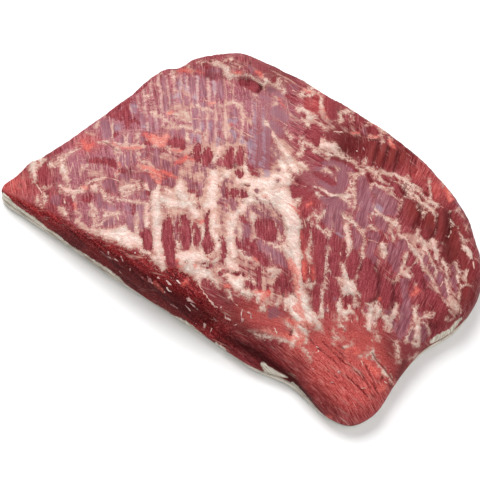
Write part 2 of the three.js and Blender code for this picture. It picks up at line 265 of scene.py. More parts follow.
    (60,186,1.2,66,190,2.3,74,191.5,2.6,81,190,2,86,187,1.2,90,182,1.5,96,179,1.3,102,177.5,.8),
    (102,177.5,.6,112,178.5,.5,119,181,.5), (92,187,1.8,96,190,2.6,96,186,1.5), (85,168,.6,87,165,.8),
    (74,195,1,74,200,.8,74,206,.9,76,211,.7,78,215,.6), (61,208,.8,64,211,1.1,66,214,.9),
    (64,198,.6,65,204,.7), (90,203,.9,92,206,1.4,95,208,.7), (90,213,1,94,215,1.7,96,213,.9),
    (97,218,.8,99,222,.8,98,226,.9), (94,220,.7,94,227,.9), (103,210,.9,106,213,1.1,104,216,.8),
    (106,216,.8,112,214.5,.7,118,214,.6,124,215,.5), (105,219,.7,102,224,.8,100,229,.9),
    (109,220,.5,108,227,.5), (114,217,.4,114,227,.5), (118,210,.5,118,227,.5),
    (92,229,.8,97,232,2.6,104,233,2.8,112,233,3,119,231,3.2,125,229,4), (77,221,.8,84,226,.9,90,231,1.2),
    (101,183,.5,102,190,.8,104,196,.8,107,201,.7,111,205,.5),
    (103,196,.4,110,198,.5,118,199,.5,126,200,.6,135,202,.7,142,203,.8), (119,157,.5,119,166,.6,118,174,.8),
    (115,149,1.1,118,152,1.2,120,154,.8), (97,117,.7,103,116,1,108,114,.6), (98,121,.5,97,127,.5),
    (113,124,.4,113,133,.5,112,138,.6,116,143,.9), (98,142,.5,107,141.5,.8,112,144,.9,116,147,.7,121,149,.5),
    (118,144,1,124,146,1.5,130,147,1.7,137,146,1.4,143,147,.7),
    (118,131,.6,126,131,.7,134,130,.5,143,130,.5), (126,135,1.3,126,142,1.6), (134,133,.4,134,142,.5),
    (138,134,.6,138,142,.8), (153,139,2.8,157,143,3.8,163,141,3,167,136,1.3), (125,151,.5,125,166,.4),
    (131,151,.6,131,165,.5), (137,150,.8,137,160,.6), (138,153,.9,142,155,.8),
    (139,160,.7,145,162,.8,152,166,.8), (142,158,.5,149,160,.6), (163,153,.8,166,155,.6),
    (169,151,.7,171,154,.6), (139,166,.9,146,167,1.3,151,168,1.6,145,170,.7),
    (121,189,1.8,126,187,2.3,132,186,2,136,184,1.3), (123,193,1.2,130,191,1.6,135,189,1),
    (138,184,.9,139,188,1.7), (145,184,1,147,188,2.3,149,191,1.3), (123,196,.8,129,195,.9),
], "film": [
    (152,112,.8,160,116,1,167,121,1.2,174,124,1),
    (167,113,1.3,173,113,1.3,178,116,1.2,184,120,1.2,190,122,1), (190,119,.7,202,119,.6,213,119,.6),
    (170,127,.7,180,126.5,.7,190,128,.8,196,130,.8,202,134,.8,206,138,.7),
    (184,112,2,187,117,2.2,190,122,1.5), (187,131,1.2,187,138,1.6),
    (194,103,.8,199,107,1,203,110,.8,208,110,.7,213,112,.7), (200,99,.5,208,101,.7), (209,103,.8,215,103,.9),
    (217,105,.9,222,107.5,.7), (154,105,.9,156,107,1.1), (146,97,.7,148,97,.9), (154,93.5,.6),
    (162,72,.7,160,75,.6), (174,74,1,174,79,.9), (228,103,1.8,234,102,1.8,238,104,2.2,242,107,1.2),
    (242,131,.5,248,135,.6,254,138,.6), (230,117.5,.4,238,117.5,.4),
    (265,123,1.8,269,125,2.3,272,130,1.4,274,135,.9), (243,113,1,243,121,1), (226,128,1,226,134,1),
], "core": [
    (98,232,2.5,106,234,4,114,235,6,122,235,9,130,240,8,137,242,5.5), (137,232,3,139,240,4),
    (142,248,3,149,253,2), (155,258,3,160,263,2.5), (254,213,1.4,253,219,2.3,252,226,.9),
    (238,218,1.1,237,224,1.4,240,230,1.7,240,236,1.1), (254,225,.4,254,240,.4),
    (268,243,.9,274,244,2,279,248,1.6), (240,250,1,243,255,1.8,248,258,1.8),
    (252,258,1.1,258,264,1.3,262,268,.9), (264,240,.4,265,247,.4), (270,252,.4,272,262,.4),
    (276,254,.4,276,260,.4), (276,226,.6,278,233,.6,280,240,.8), (256,335,1,264,336.5,1.8,273,337.5,1.2),
    (262,330,.7,270,333,1.2,279,337,2.2,290,342,2,299,346,1.6), (274,327,.5,277,334,.6),
], "net": [
    (396,233,.5,401,236,.6,405,238,1,409,244,1,412,248,1.6,416,253,2.4,420,258,2.2,423,263,1.4,424,268,.8),
    (418,241,1.2,421,238,1.5,424,242,2.3,425,248,3), (425,248,3,422,250,1.5,424,256,.9),
    (417,231,.6,416,235,.9,418,239,.8),
    (432,239,1.8,434,242,2.6,434,247,2,436,251,2.2,435,256,2.6,436,261,1.4),
    (427,243,1.5,430,247,1.4,433,247,1), (427,250,1,429,256,1.3,432,261,1.1,435,267,1,436,272,.8,437,277,.7),
    (407,252,.6,405,258,1,404,264,1,402,268,1.3), (401,268,1.2,403,271,1,406,274,2.4,409,277,1.6),
    (408,268,.6,411,268,.6,414,264,1,417,261,.7), (417,283,.7,415,286,.9),
    (443,261,.8,445,264,1.4,447,268,1.1,447,273,1.6,446,278,1,447,284,1,447.5,289,1,448,294,1.2,449,298,2,
     452,304,1.6),
    (429,276,.8,432,281,1), (435,289,.8,438,292,1), (441,298,.6,445,302,.6,449,307,.8,450,311,.6),
    (445,244,.9,448,249,.7,451,254,.3), (443,281,.4,440,287,.5), (454,302,1.6,456,309,1.8),
    (451,226,.6,451,232,.5,448,238,.5),
], "back pocket": [
    (226,72,2.6,231,75,3,228,79,1.6),
    (231,76,1.4,239,75.5,.8,245,75,.8,250,76,1,255,79,1.2,260,83,1.3,263,88,.9),
    (263,77,1.2,266,80,2.2,264,84,1.6), (268,82,.9,273,85,.8,279,88,1,284,89,.7),
    (276,78,.7,278,82,1,280,86,.5), (284,92,1.1,280,95,.6), (275,97,.8,278,100,.6), (240,66,.6,239,70,.6),
    (247,70,.6), (255,96,.8,258,99,.9), (292,90,.5,297,92,.5),
], "near point": [
    (291,299,5,296,310,7,302,322,6,297,334,5,293,344,3), (306,300,3,309,312,3),
    (333,331,.8,335,336,1,334,341,.6), (336,336,.8,341,341,.7), (344,347,.8,350,346,.8,352,344,.5),
    (361,356,.5,367,355,1,372,352,1.3,371,348,.6), (361,360,.7,363,366,.6),
    (373,356,.6,378,364,.8,384,371,1.2,389,378,1,393,382,.5), (376,333,1,378,338,1.5,377,342,.6),
    (361,388.5,.6,367,388,.7), (302,349,.8,308,353,.9,311,358,.6), (384,381,.7,388,384,.5),
    (371,339,.5,373,342,.4),
]}
# Thin fatty membrane, see-through; the first stroke, at the thin corner's tip, is a painted glint
FILM = {"lump": [
    # the first stroke is a painted glint at the thin tip
    (12,185,1,12,189,1), (176,247,1.5,190,249,2,205,250,3), (214,266,3,219,281,3), (223,268,2),
    (263,272,3,263,285,4,264,295,4), (236,291,2.5), (213,245,1.5,214,256,1.8), (206,256,4),
], "rear": [
    (325,115,3,328,119,3), (352,121,.8,354,128,1.2), (352,133,1,358,133.5,1), (310,120,3,318,123,3),
    (328,128,1.5,337,126,1.5,345,130,1.5), (313,132,1), (306,98,.6,306,108,.6), (330,122,.8,337,120,.8),
], "right": [
    (272,283,3,272,292,3,268,300,3), (281,296,3,279,305,2), (262,296,4,270,303,3), (377,126,1.2,382,128,1.2),
    (353,123,.7,353,130,.7), (364,128,.8,365,135,1), (396,204,1,399,206,1.2,398,212,1),
    (366,212,1,367,225,1), (378,260,1,376,268,1), (392,226,2,388,234,1.5),
], "silverskin": [
    (188,150,7,205,146,8,222,150,9,240,145,7,244,156,5), (272,150,5,280,158,6),
    (190,165,7,210,168,8,222,172,6,242,170,7), (283,143,4,290,155,5,297,166,5), (151,168,5,160,178,4),
    (165,198,9,190,196,10,215,192,12,245,190,12,280,190,12), (180,176,8,210,176,9,250,178,9,285,172,8),
    (155,212,8,192,212,8,216,214,9,240,212,9,265,210,8,288,216,8), (212,228,7,232,230,7,222,240,6),
    (199,230,5,176,222,4),
], "low": [
    (462,214,1,466,226,1,468,236,.8), (333,315,1.5,334,320,1.2), (363,312,1,366,316,1),
], "left": [
    (62,214,1.2,72,218,1.2,80,223,1.2,88,229,1.2), (90,173,1.6,96,172,2,102,171,1.6), (60,190,1,66,194,1.2),
    (87,134,1.3,94,135,1.3), (120,134,.4,130,134,.4,141,134,.5), (120,168,.8,132,170,.8,140,171,.8),
    (119,183,1,130,182,1,138,180,1), (110,192,1.5,116,196,1.5),
], "film": [
    (144,90,.9,144,103,1.1,145,112,1.2,147,126,.9), (151,80,.8,151,92,.8),
    (158,79,1,159,90,.9,161,100,1.1,162,112,1), (168,90,.6,169,105,.9,169,112,.9),
    (174,80,.8,174,95,.8,175,104,.7), (208,78,1.1,209,90,1.2,209,100,1.2),
    (172,108,2.3,180,106,2.6,188,106,2.8), (181,114,2.5,189,117,3), (174,90,.8,182,90,1.3,190,93,1.3),
    (160,127,1,168,129,1.4,178,127,1), (206,106,1.3,208,113,1.3,207,130,1,206,146,1.2),
    (216,110,1.4,216,130,1.2,215,146,1.2), (225,105,1.8,225,120,2,225,135,2.3,226,146,2),
    (199,110,.5,199,131,.5), (229,107,1.6,229,115,1.6),
    (242,110,2.3,243,118,2.3,242,126,2.3,240,135,1.8,239,146,1.8), (188,126,1,200,128,.8), (251,133,2.2),
    (196,133,1,203,140,1), (188,142,2.5), (253,229,1.8,254,236,1.4), (243,213,3,246,209,2),
    (127,257,.7,135,257,1,143,256,1), (249,332,1.2,257,331,1.2),
], "net": [
    (335,132,.6,343,131.5,.7), (405,235,2,410,238,3,414,243,3,417,248,2,420,253,1.5),
    (428,265,1.6,427,271,2.2,430,277,3,433,284,3.2,436,291,2.8,440,297,1.6), (405,256,2,404,264,2.2),
    (451,290,1.5,453,296,3,455,303,5,456,310,5), (449,279,1,451,286,1.2), (412,276,1,414,273,1),
    (408,266,1,409,271,1.4), (440,264,.8,441,270,1),
], "back pocket": [
    (229,66,1.5,235,64,1.5,242,67,2,246,71,1.2), (229,83,1.5,233,87,1,231,91,1), (286,80,.8,282,84,.8),
]}
# Sinews that run down the silverskin
RIBS = {"silverskin": [
    (137.5,93,.5,139,106,.5,141,112,.4), (143,87,1,144,96,1,145,106,1.1,147.5,117,1,147,130,.8),
    (150.5,80,.8,151,90,.8,152,98,.5), (154,112,.4,156,120,.5,157,128,.4), (158.5,75,1,158.5,85,.9),
    (160,87,.8,161,98,1,162,111,.9,163,125,.8), (166,76,.5,168,88,.7,169,97,.7,170.5,105,.5),
    (172.5,73,1.2,174,84,1,175,90,.7), (176,95,.6,178,104,.6), (181,76,.8,181.5,89,.8),
    (187,77,.9,187.5,90,.9,190,100,.6), (197,77,.9,197.5,90,1,198,101,.8),
    (208,79,1.2,209,90,1.4,209,101,1.2), (214.5,81,.6,215,96,.6), (200,110,.5,200.5,131,.5),
    (206.5,108,.6,207.5,120,.9,207,134,.9,206,144,.6), (215.5,112,.7,216,124,1,215.5,138,.9),
    (225,112,.6,226,124,1,226,138,.8), (243,112,.6,243,124,1,241,138,.8), (252,100,.5,253,118,.5),
    (233,96,.6,234,106,.6),
]}
# Muscle seen through silverskin, between the fat and membrane
ROSE = {"silverskin": [
    (251,136,2.8,251,163,3), (268,130,3,267.5,150,3,267,168,3), (273.5,146,1,274,160,1),
    (278,152,2,279,157,1.8), (278.5,170,2), (195,167,3,196,170,2.4), (204,166,2.8,204,170,2.6),
    (210,165,2.4), (214,168,1.5), (233,141,2), (272,124,3,280,132,4), (276,112,5,284,118,4), (259,175,1),
], "middle": [
    (154,162,2.8,157,165,2.6), (165,163,2.8,169,169,2.6), (176,167,2.6,176.5,174,2.6),
    (148,178,3.2,153,186,4), (164,184,1.2,168,182,1.3), (172,180,2.6,171,184,2.2,175,178,1.8),
    (185,178,1.8,189,180,2.8), (190,185,2.8,193,188,2.4), (200,185,2.8,200,191,2.8,199,196,1.4),
    (206,174,1.3,206,178,.9), (228,180,.9,232,183,.9), (225,179,.8,229,182,.8),
    (223,186,2,224,190,2.4,224,196,2.2), (222,200,.8,228,201,.9), (233,199,2.6,233,205,2.8,234,210,2),
    (219,203,.9,224,205,1), (224,209,1.2,227,211,1.1), (176,218,1,176,226,1.1,177,238,1.4), (257,191,1.8),
    (278,181,1.5), (149,210,.8,152,208,.6), (134,106,3.5), (117,127,3),
], "right": [
    (343,172,4,343,182,6,340,188,5), (362,180,4,364,190,6,365,200,7,368,208,6),
    (375,190,3,385,198,4,394,204,3), (380,203,5,388,208,6,394,212,4),
    (318,168,2,325,163,2,335,162,3,345,166,3,354,170,2), (322,182,3,330,188,4,338,190,3),
    (325,200,4,335,203,6,342,206,5,333,210,7), (325,220,3,330,226,2.5,328,214,3),
    (337,215,4,338,223,4,340,231,3), (362,216,5,364,223,4,358,218,3),
    (355,229,2,357,236,3,358,244,3.5,357,248,2), (370,235,3,376,236,4,371,247,4,370,254,4,375,260,3),
    (380,222,5,384,228,4,378,219,3), (392,258,4,390,245,2),
    (399,245,3,404,248,2.5,396,252,4,395,262,4,396,271,2), (453,277,2,454,284,2.5,456,290,1.5),
    (421,313,1.5,422,316,.8), (424,326,1.5,424,334,2.5,423,340,2), (411,338,1.5,412,331,1),
    (453,268,1.2,454,271,1.2), (327,308,1.5,327,312,1.5), (335,298,2,338,300,1.2), (387,312,2,390,313,1.5),
    (366,308,1.2,366,311,1), (394,322,1.5,396,330,2), (375,321,1),
], "left": [
    (56,200,4.8), (107,184,3.6,112,185,4,114,190,2.6), (107,224,2.6,112,222,3.4), (107,207,1.5,114,209,2),
    (99,197,2,100,204,2.2), (105,125,3.6,107,134,4.4), (119,127,2.6), (121,138,1.6,121,141,1.4),
    (130.5,136,1.5,130.5,141,1.5), (142,138,1.8), (156,152,3.2,156,158,3.2,156,163,2.8), (165,166,3),
    (122,157,1.6,122,164,1.6), (128,156,1.9,128,164,1.8), (134,156,1.8,134,162,1.8), (143,155,2.2),
    (123,177,2.2,127,179,1.8), (134,177,1.8), (141,176,1.8,147,179,2.6,152,183,3.4,153,188,1.8),
    (144,194,3,148,192,1.3,142,198,1.3), (134,196,1.5), (98,188,.5), (128,207,3,136,209,3),
], "film": [
    (164,78,1.8,164,90,2.2), (192,79,2.3,192,92,2.6), (203,80,2.2,203,94,2.3), (177,79,1.1,177,88,1.1),
    (220,83,2.8,221,94,3), (165,95,1.7,165,109,1.7), (172,95,1.3,172,103,1.3), (142,114,1.7,142,128,2.2),
    (150,117,1.6,150,129,1.6), (156,119,1.6,157,129,1.8), (173,131,1.3,173,135,1.3),
    (182,130,1.5,183,135,1.4), (186,98,1.5,187,102,1.3), (181,101,1.6), (194,97,1.3,195,103,1.4),
    (203,105,2), (195,109,1.7,195,116,1.9), (202,113,1.5,202,117,1.5), (195,122,2,195,127,2),
    (202,121,1.8,202,128,1.8), (211,122,1.8,211,132,2,211,141,1.8), (219,122,1.3,219,126,1.3),
    (223,139,.9,223,144,.9), (211,113,.8), (235,110,1.6,235,116,1.4), (230,121,1.6,236,121,1.6),
    (232,132,1.4,235,136,1.5), (232,142,1.8), (250,138,1.7,250,162,1.8), (259,136,2.4,260,165,2.6),
    (268,133,1.8,268,165,2.2), (246,226,2.2,247,232,2.6,247,238,2), (236,232,1.1), (260,243,2.4,261,250,2.2),
    (266,246,1.6,272,252,3.4,280,260,4.2,286,266,2.4), (278,221,1.3,281,228,1.8,281,232,1.2),
    (252,208,1.3,258,212,1.8,266,216,1.8,274,219,1.3,282,223,.9), (248,207,1,248,217,.8), (248,254,1),
    (130,217,2.6,131,226,2.2,133,231,1), (254,196,.3,262,205,.5,270,214,.3),
    (264,196,.3,273,208,.4,281,216,.3), (141,207,1.8,141,218,2,142,226,1.6,141,232,.9),
], "net": [
    (270,311,2,271,316,1.6), (275,309,2,276,314,3), (282,309,1.2,284,314,1.5), (364,130,2,366,134,1.5),
    (401,244,3,405,243,2,406,249,2), (398,252,3,396,262,4,396,271,2), (426,256,1.3,426,262,1.6,427,265,.8),
    (431,268,1.3,433,270,1), (440,275,2.4,440,281,2.4), (443,286,2,444,292,2.2,446,297,1.2),
    (425,276,1.3,427,280,1), (405,281,3.5,404,290,3.5,406,300,4,406,310,5,405,320,5,402,330,5,400,336,3),
    (413,279,1),
], "back pocket": [
    (213,70,2.5,220,71,2), (250,67,1.5,252,71,1.2), (270,90,2,276,92,2,282,96,1.5), (262,96,1.2,268,99,1.5),
    (292,86,1.5,297,88,1.2),
]}
# Bluish silverskin
SILVER = {"cells": [
    (242,140,1.4), (250,142,2,250,150,2), (267,172,2.6,267,176,2.2), (261,163,1.8), (132,106,.6,132,112,.6),
    (136,106,.6,136,112,.6), (117,127,1.6),
], "right": [
    (338,233,1,343,237,1.2), (378,206,1.5,382,210,1.5), (458,201,1,460,207,1),
], "film": [
    (180,76,.8,180,89,.8), (184,75,.7,186,84,1.1,187,90,1), (198,77,.7,197,90,.8,196,99,.7),
    (214,80,1.1,214,94,1), (179,95,1.8,176,97,1.3), (211,123,1.8,210,128,2.2), (219,129,1.3),
    (192,135,1.2,192,143,1.2), (198,137,2,199,143,1.9), (218,139,1.2,218,145,1.1), (230,121,1.6,236,121,1.6),
    (231,131,1.2,234,133,2,235,137,1.5), (242,138,1.1,242,142,1.1), (202,124,1.6,202,128,1.6),
    (254,104,.5,255,140,.7,254,168,.7), (263.5,108,.5,264,140,.7,264,166,.7), (250,140,1.2,250,160,1.2),
    (144,124,.8), (251,131,2),
]}
# Trimmed muscle that shows between the fat
BARE = {"network": [
    (170,143,3,176,143,4), (206,66,2.5), (147,236,4.5,147,247,4.5),
], "middle": [
    (188,190,1.3,192,191,1.8,196,192,1.8,197,196,1.3), (192,177,.9), (219.5,186,1), (227,190,2,227,195,2),
    (233,190,2.4,237,193,2.6,233,195,2.2), (242,192,1.8,246,195,2.2,241,196,1.8),
    (184,217,2.8,185,226,4.8,186,238,5), (169,218,1.8,170,226,2.3,170,238,2.8),
    (194,224,1.3,197,232,3.3,198,239,2.8), (209,211,.9,207,217,1.5,206,224,1.8,207,230,1.8),
    (208,236,2.8,208,240,3.2), (197,208,.9,199.5,206,1), (293,187,2.8,294,195,2.3),
    (299,189,2.8,300,195,1.8), (305,189,2.8,307,197,3.8), (311,194,2.8),
    (306,202,2.8,309,207,4.6,307,214,2.6), (297,180,1.4,303,184,1.5,309,187,1.1), (314,203,3.5), (164,225,1),
    (164,232,1.6,163,239,1.8), (148,193,2), (147,236,4,143,234,4),
    (165,224,1,165,232,2.5,168,245,4,171,262,4), (170,226,3,171,245,4.5), (178,222,1,178,233,.8),
    (186,228,5,186,240,5.5,186,246,4), (197,231,3,197,239,3.5,196,243,2), (207,235,3,206,244,4,208,252,2),
    (212,242,1.2,212,249,1.3), (222,237,1.5,224,247,2.5,224,257,2), (222,262,2), (221,274,1.8),
    (234,273,1.8,239,274,1.5), (243,275,1.2), (247,283,1.5), (252,287,2.2), (259,268,2,260,280,2,260,290,2),
    (257,276,1.2), (253,298,1), (186,262,.8), (202,264,.7,206,263,1), (207,267,1,212,265,1.5), (245,288,.8),
    (219,241,.8),
], "rear": [
    (307,99,2.5,307,106,3), (315,98,2.5,315,108,3), (345,115.5,1.6,348,117,1.6), (304,115,1,305,117,.9),
    (303,123,.8), (314,128,4,316,136,4.5,317,142,3), (308,131,2,309,137,2), (305,93,1.3),
    (330,103,6,332,116,4),
], "right": [
    (308,152,2.5,314,156,3,320,159,2), (283,279,2,284,286,2.2,283,291,1.3), (277,284,1.8,276,290,1),
    (268,288,1.6,268,295,1.2), (373,130,3,376,133,3), (316,173,2,322,176,2.5,328,180,3,334,183,2),
    (315,188,1,321,192,1.2,327,196,.8), (333,158,1.2,340,160,1.2,345,161,.8),
    (345,162,1,352,166,1.5,357,170,1), (316,157,1.5,322,159,1.5), (316,164,1.2,321,165,1),
    (329,167,.8,334,169,.8), (384,176,1.5,388,179,2,391,181,1), (393,184,2.5,398,188,2.5,402,191,2),
    (383,184,.8,390,186,.8), (377,181,1,381,184,1), (368,176,1.5,371,181,1.5), (395,193,2,399,197,2),
    (414,175,2,414,181,2), (304,262,2.5,305,270,3,305,280,2.2), (312,266,1.8,313,274,1.8,313,280,1.4),
    (302,231,1.5,303,238,3,304,245,3,303,249,1.5), (308,222,1.2,308,233,1.5,307,240,1.2),
    (304,213,1.5,306,216,1.5), (313,229,1.5,317,234,4,320,242,5,320,252,6,319,262,5,320,270,4,320,280,3.5),
    (323,238,2,327,244,1.2), (320,224,1,324,228,1.5),
    (335,236,1.2,333,241,3,336,246,4,337,252,3,333,258,4,334,266,4.5,336,274,3),
    (344,250,1.2,345,258,1.6,344,261,1.2), (344,243,.8,346,246,.8), (329,274,1.5,332,280,2,334,288,3.5),
], "silverskin": [
    (198,146,2.8,197,152,3.8,198,159,2.4), (208,149,2.6,208,155,5.2,206,162,3.6),
    (231,149,2.8,229,155,4.8,227,162,4.4,230,165,3.2), (241,149,2.8,240,157,3.8,240,162,3.6), (247,150,2),
    (249,159,1.1), (250,167,1.4,253,169,1.3), (252,174,1.3,250,171,1), (257,175,1.6,254,172,1.4),
    (237,172.5,2.2,241,173,2.4,239,176,1.6), (190,154,1.1), (174,143,4.4,181,142,3.6,182,146,2.5),
    (218,156,.7), (219.5,158,.7,221,163,.8), (126,104,2.5,125,112,3.6,126,120,3.4,128,126,2.6),
    (131,99,1.6,128,103,1.5), (109,114,3,116,115,3.6,121,113,3), (131,121,1.2,135,120,1.2,139,123,.7),
], "far right": [
    (417,181,4,422,184,4,426,189,2,427,194,1.5), (436,184,4,437,190,5.5,438,197,4), (445,190,2.5,446,197,3),
    (447,203,3,452,206,3), (454,214,3,458,220,4,462,228,3.5,466,236,2),
    (455,230,3,454,238,5,455,246,6,452,254,6), (460,243,1.5,459,252,3,464,258,4,464,266,3),
    (471,247,1.5,474,252,1.2,475,262,1.2), (470,262,1.5,471,272,2,470,280,2.5), (463,282,1.5),
    (468,290,4,467,297,4), (434,322,4,435,330,4,433,336,2), (443,323,2.5,444,328,2), (396,290,1.5,397,298,2),
    (450,326,3,455,321,2), (463,303,2,465,309,1.5),
], "low": [
    (317,289,3,316,296,2.5,317,304,2.8,317,310,2), (327,295,2.5,330,300,2,326,300,1.5),
    (335,293,2.5,338,296,1.5), (333,302,1,334,308,2,334,313,1.2), (326,314,2,327,318,1.5),
    (349,298,3.5,346,300,2,350,302,2), (345,306,1.2,346,308,1), (357,310,1.5,360,315,2,361,320,2),
    (380,320,2,380,327,2.5,381,333,1.5),
], "left": [
    (46,164,1.8,44,170,3.8,43,177,4.8,46,182,3.8), (69,199,1.8,71,204,2.3,73,208,1.3),
    (83,198,2,88,199,2.6,91,197,1.3), (90,161,2,98,160,2.4,106,161,2.6,113,163,3.4,116,168,1.3),
    (116,134,1.8), (147,142,1.8,149,144,1.3), (119,170,.8,123,170.5,1.3,128,171,.8), (52,147,3,58,150,3),
    (165,150,.7,162,152,.6),
], "core": [
    (242,218,2,246,221,1.8), (258,222,2.5,262,230,6,268,236,5), (270,223,3,272,230,4,272,238,3),
    (236,238,1,239,243,2.6,241,247,1.5), (247,240,2,252,244,4,256,248,2),
    (243,247,.8,252,251,2.2,260,256,3.6,265,263,3.2), (133,206,1.8,133,213,1.6), (242,184.5,.6,249,186.5,.7),
], "lobes": [
    (280,306,.8,283,311,1.3,287,315,.5), (353,253,3,353,262,6,352,272,5,350,279,2),
    (366,263,4.5,368,275,9,368,287,9.5,368,295,7), (382,279,2.5,385,288,6.5,386,298,6.5,386,306,4),
    (397,284,1.6,399,292,2.8,400,300,2.4), (408,204,5,411,214,8,411,221,5),
    (430,217,4,430,226,6.5,428,233,5.5), (444,208,4,444,220,5.2,441,233,4.5),
    (375,144,2.6,371,157,4,369,163,2), (384,146,3,381,157,3.6,378,165,2.4),
    (394,150,3,392,160,4.2,389,168,2.5), (404,155,3.5,404,165,4.6,403,172,3),
], "net": [
    (418,245,1.1,419,247,1.3), (430,249,.6,431,252,1.5,432,255,1), (435,262,1.3,437,265,.9),
    (411,254,1.6,412,259,2.8,409,264,2.2), (416,266,3,418,273,4,420,280,4,421,286,3.4),
    (430,292,4,435,299,5.5,441,306,5), (449,245,5,451,255,6), (411,283,1.4,411,287,1.2),
    (444,311,4,440,318,5), (415,291,.5),
], "back pocket": [
    (242,82,2.4,250,84.5,4.4,256,88,4), (276,77,1,273,81,1.6), (288,96,2,295,100,2.5),
], "rim behind": [
    (66,138,1.2,84,127,1.5,98,118,1.5), (108,113,2.2,116,108,2.8,125,102,2.6,130,97,1.2),
    (131,96,1,140,90,1,150,81,.9), (112,117,1.5,118,118,2.2,122,120,1.5),
]}
# Fat and membrane stained coral
BLOOD = {"columns": [
    (144,168,1,152,169,1.5,158,173,2,162,178,1.5,160,183,1), (150,172,.8,154,177,1.2,158,183,1),
    (164,172,1.5,171,175,1.5,176,178,.8), (172,150,.5,182,150,.5), (190,157,.6,193,160,.5),
    (197,221,.4,202,224,.6), (202,222,.8,203,219,.6), (175,163,1,183,160,1.5,187,156,1), (177,261,1),
    (178,266,1,182,266,1.4), (196,267,1), (226,286,1.5,230,286,1.5), (201,223,1.2), (263,300,1.5),
    (255,291,1,262,292,2), (161,255,1),
], "rear": [
    (323,108,.6,325,113,.6), (303,90,.5,310,92,.4), (279,99,.5,285,108,.4), (327,118,1), (353,133,1),
], "right": [
    (311,203,1.2,306,206,.8), (290,205,.6,296,210,.7,300,214,.5), (302,232,.6,301,238,.5),
    (290,320,1.2,298,323,1.2,306,323,1), (268,293,3,262,298,2), (291,262,3,297,275,3,297,290,2.5),
    (296,306,3,303,315,3), (370,137,.7,378,136.5,.9), (374,124,.8,381,127,1), (352,133,1,357,133,.8),
    (390,141,2,393,146,2), (304,262,1.8,305,278,1.8), (313,268,1,313,279,1), (446,188,2,449,194,2,451,199,2),
    (380,299,1.5), (305,325,3,309,326,2), (299,295,1.5,300,310,1.5),
], "left": [
    (83,187,1.2,87,187,1.2), (74,203,.8,76,208,1.2), (118,172,1), (120,147,.6,130,148,1,140,148,.7),
    (145,134,1.5,154,139,4.5,161,143,3.8,167,137,2.5), (112,143,.5,116,146,.5),
    (84,143,2.5,88,148,3,92,145,2), (140,166,.8,150,168,1,158,173,1.5,161,180,1), (119,163,.6,119,168,.6),
    (209,103,.6,215,103,.6), (231,124,.8), (168,113,1,173,112,.8),
], "cut face": [
    (254,258,.8,258,262,.8), (155,282,1,159,287,1.3,163,291,.8), (182,285,1.2,186,282,2.2),
    (262,329,.8,272,333,1.5,284,335,2.5,293,338,3),
], "net": [
    (415,286,1,418,289,2.2,417,293,2.6,412,294,1.2), (256,71,1,260,73,2.2,262,76,1.4),
    (233,72,.9,238,72,1.4,242,73,.8),
], "near point": [
    (288,320,1.5,296,324,2.5,306,323,2.5,315,325,1.5), (298,330,2,303,337,3,298,343,3),
    (346,352,2,350,348,1.2,356,348,2,359,352,1.5,354,353,1), (364,360,1.5,369,365,2,372,369,2.5,377,374,2.2),
    (382,384,1.5,385,388,2.5,380,391,2), (325,417,1.5,330,418,1.5),
], "rim behind": [
    (179,71,1.4,186,70,2.4,192,71,1.3), (197,72,.5,204,74,.5),
]}
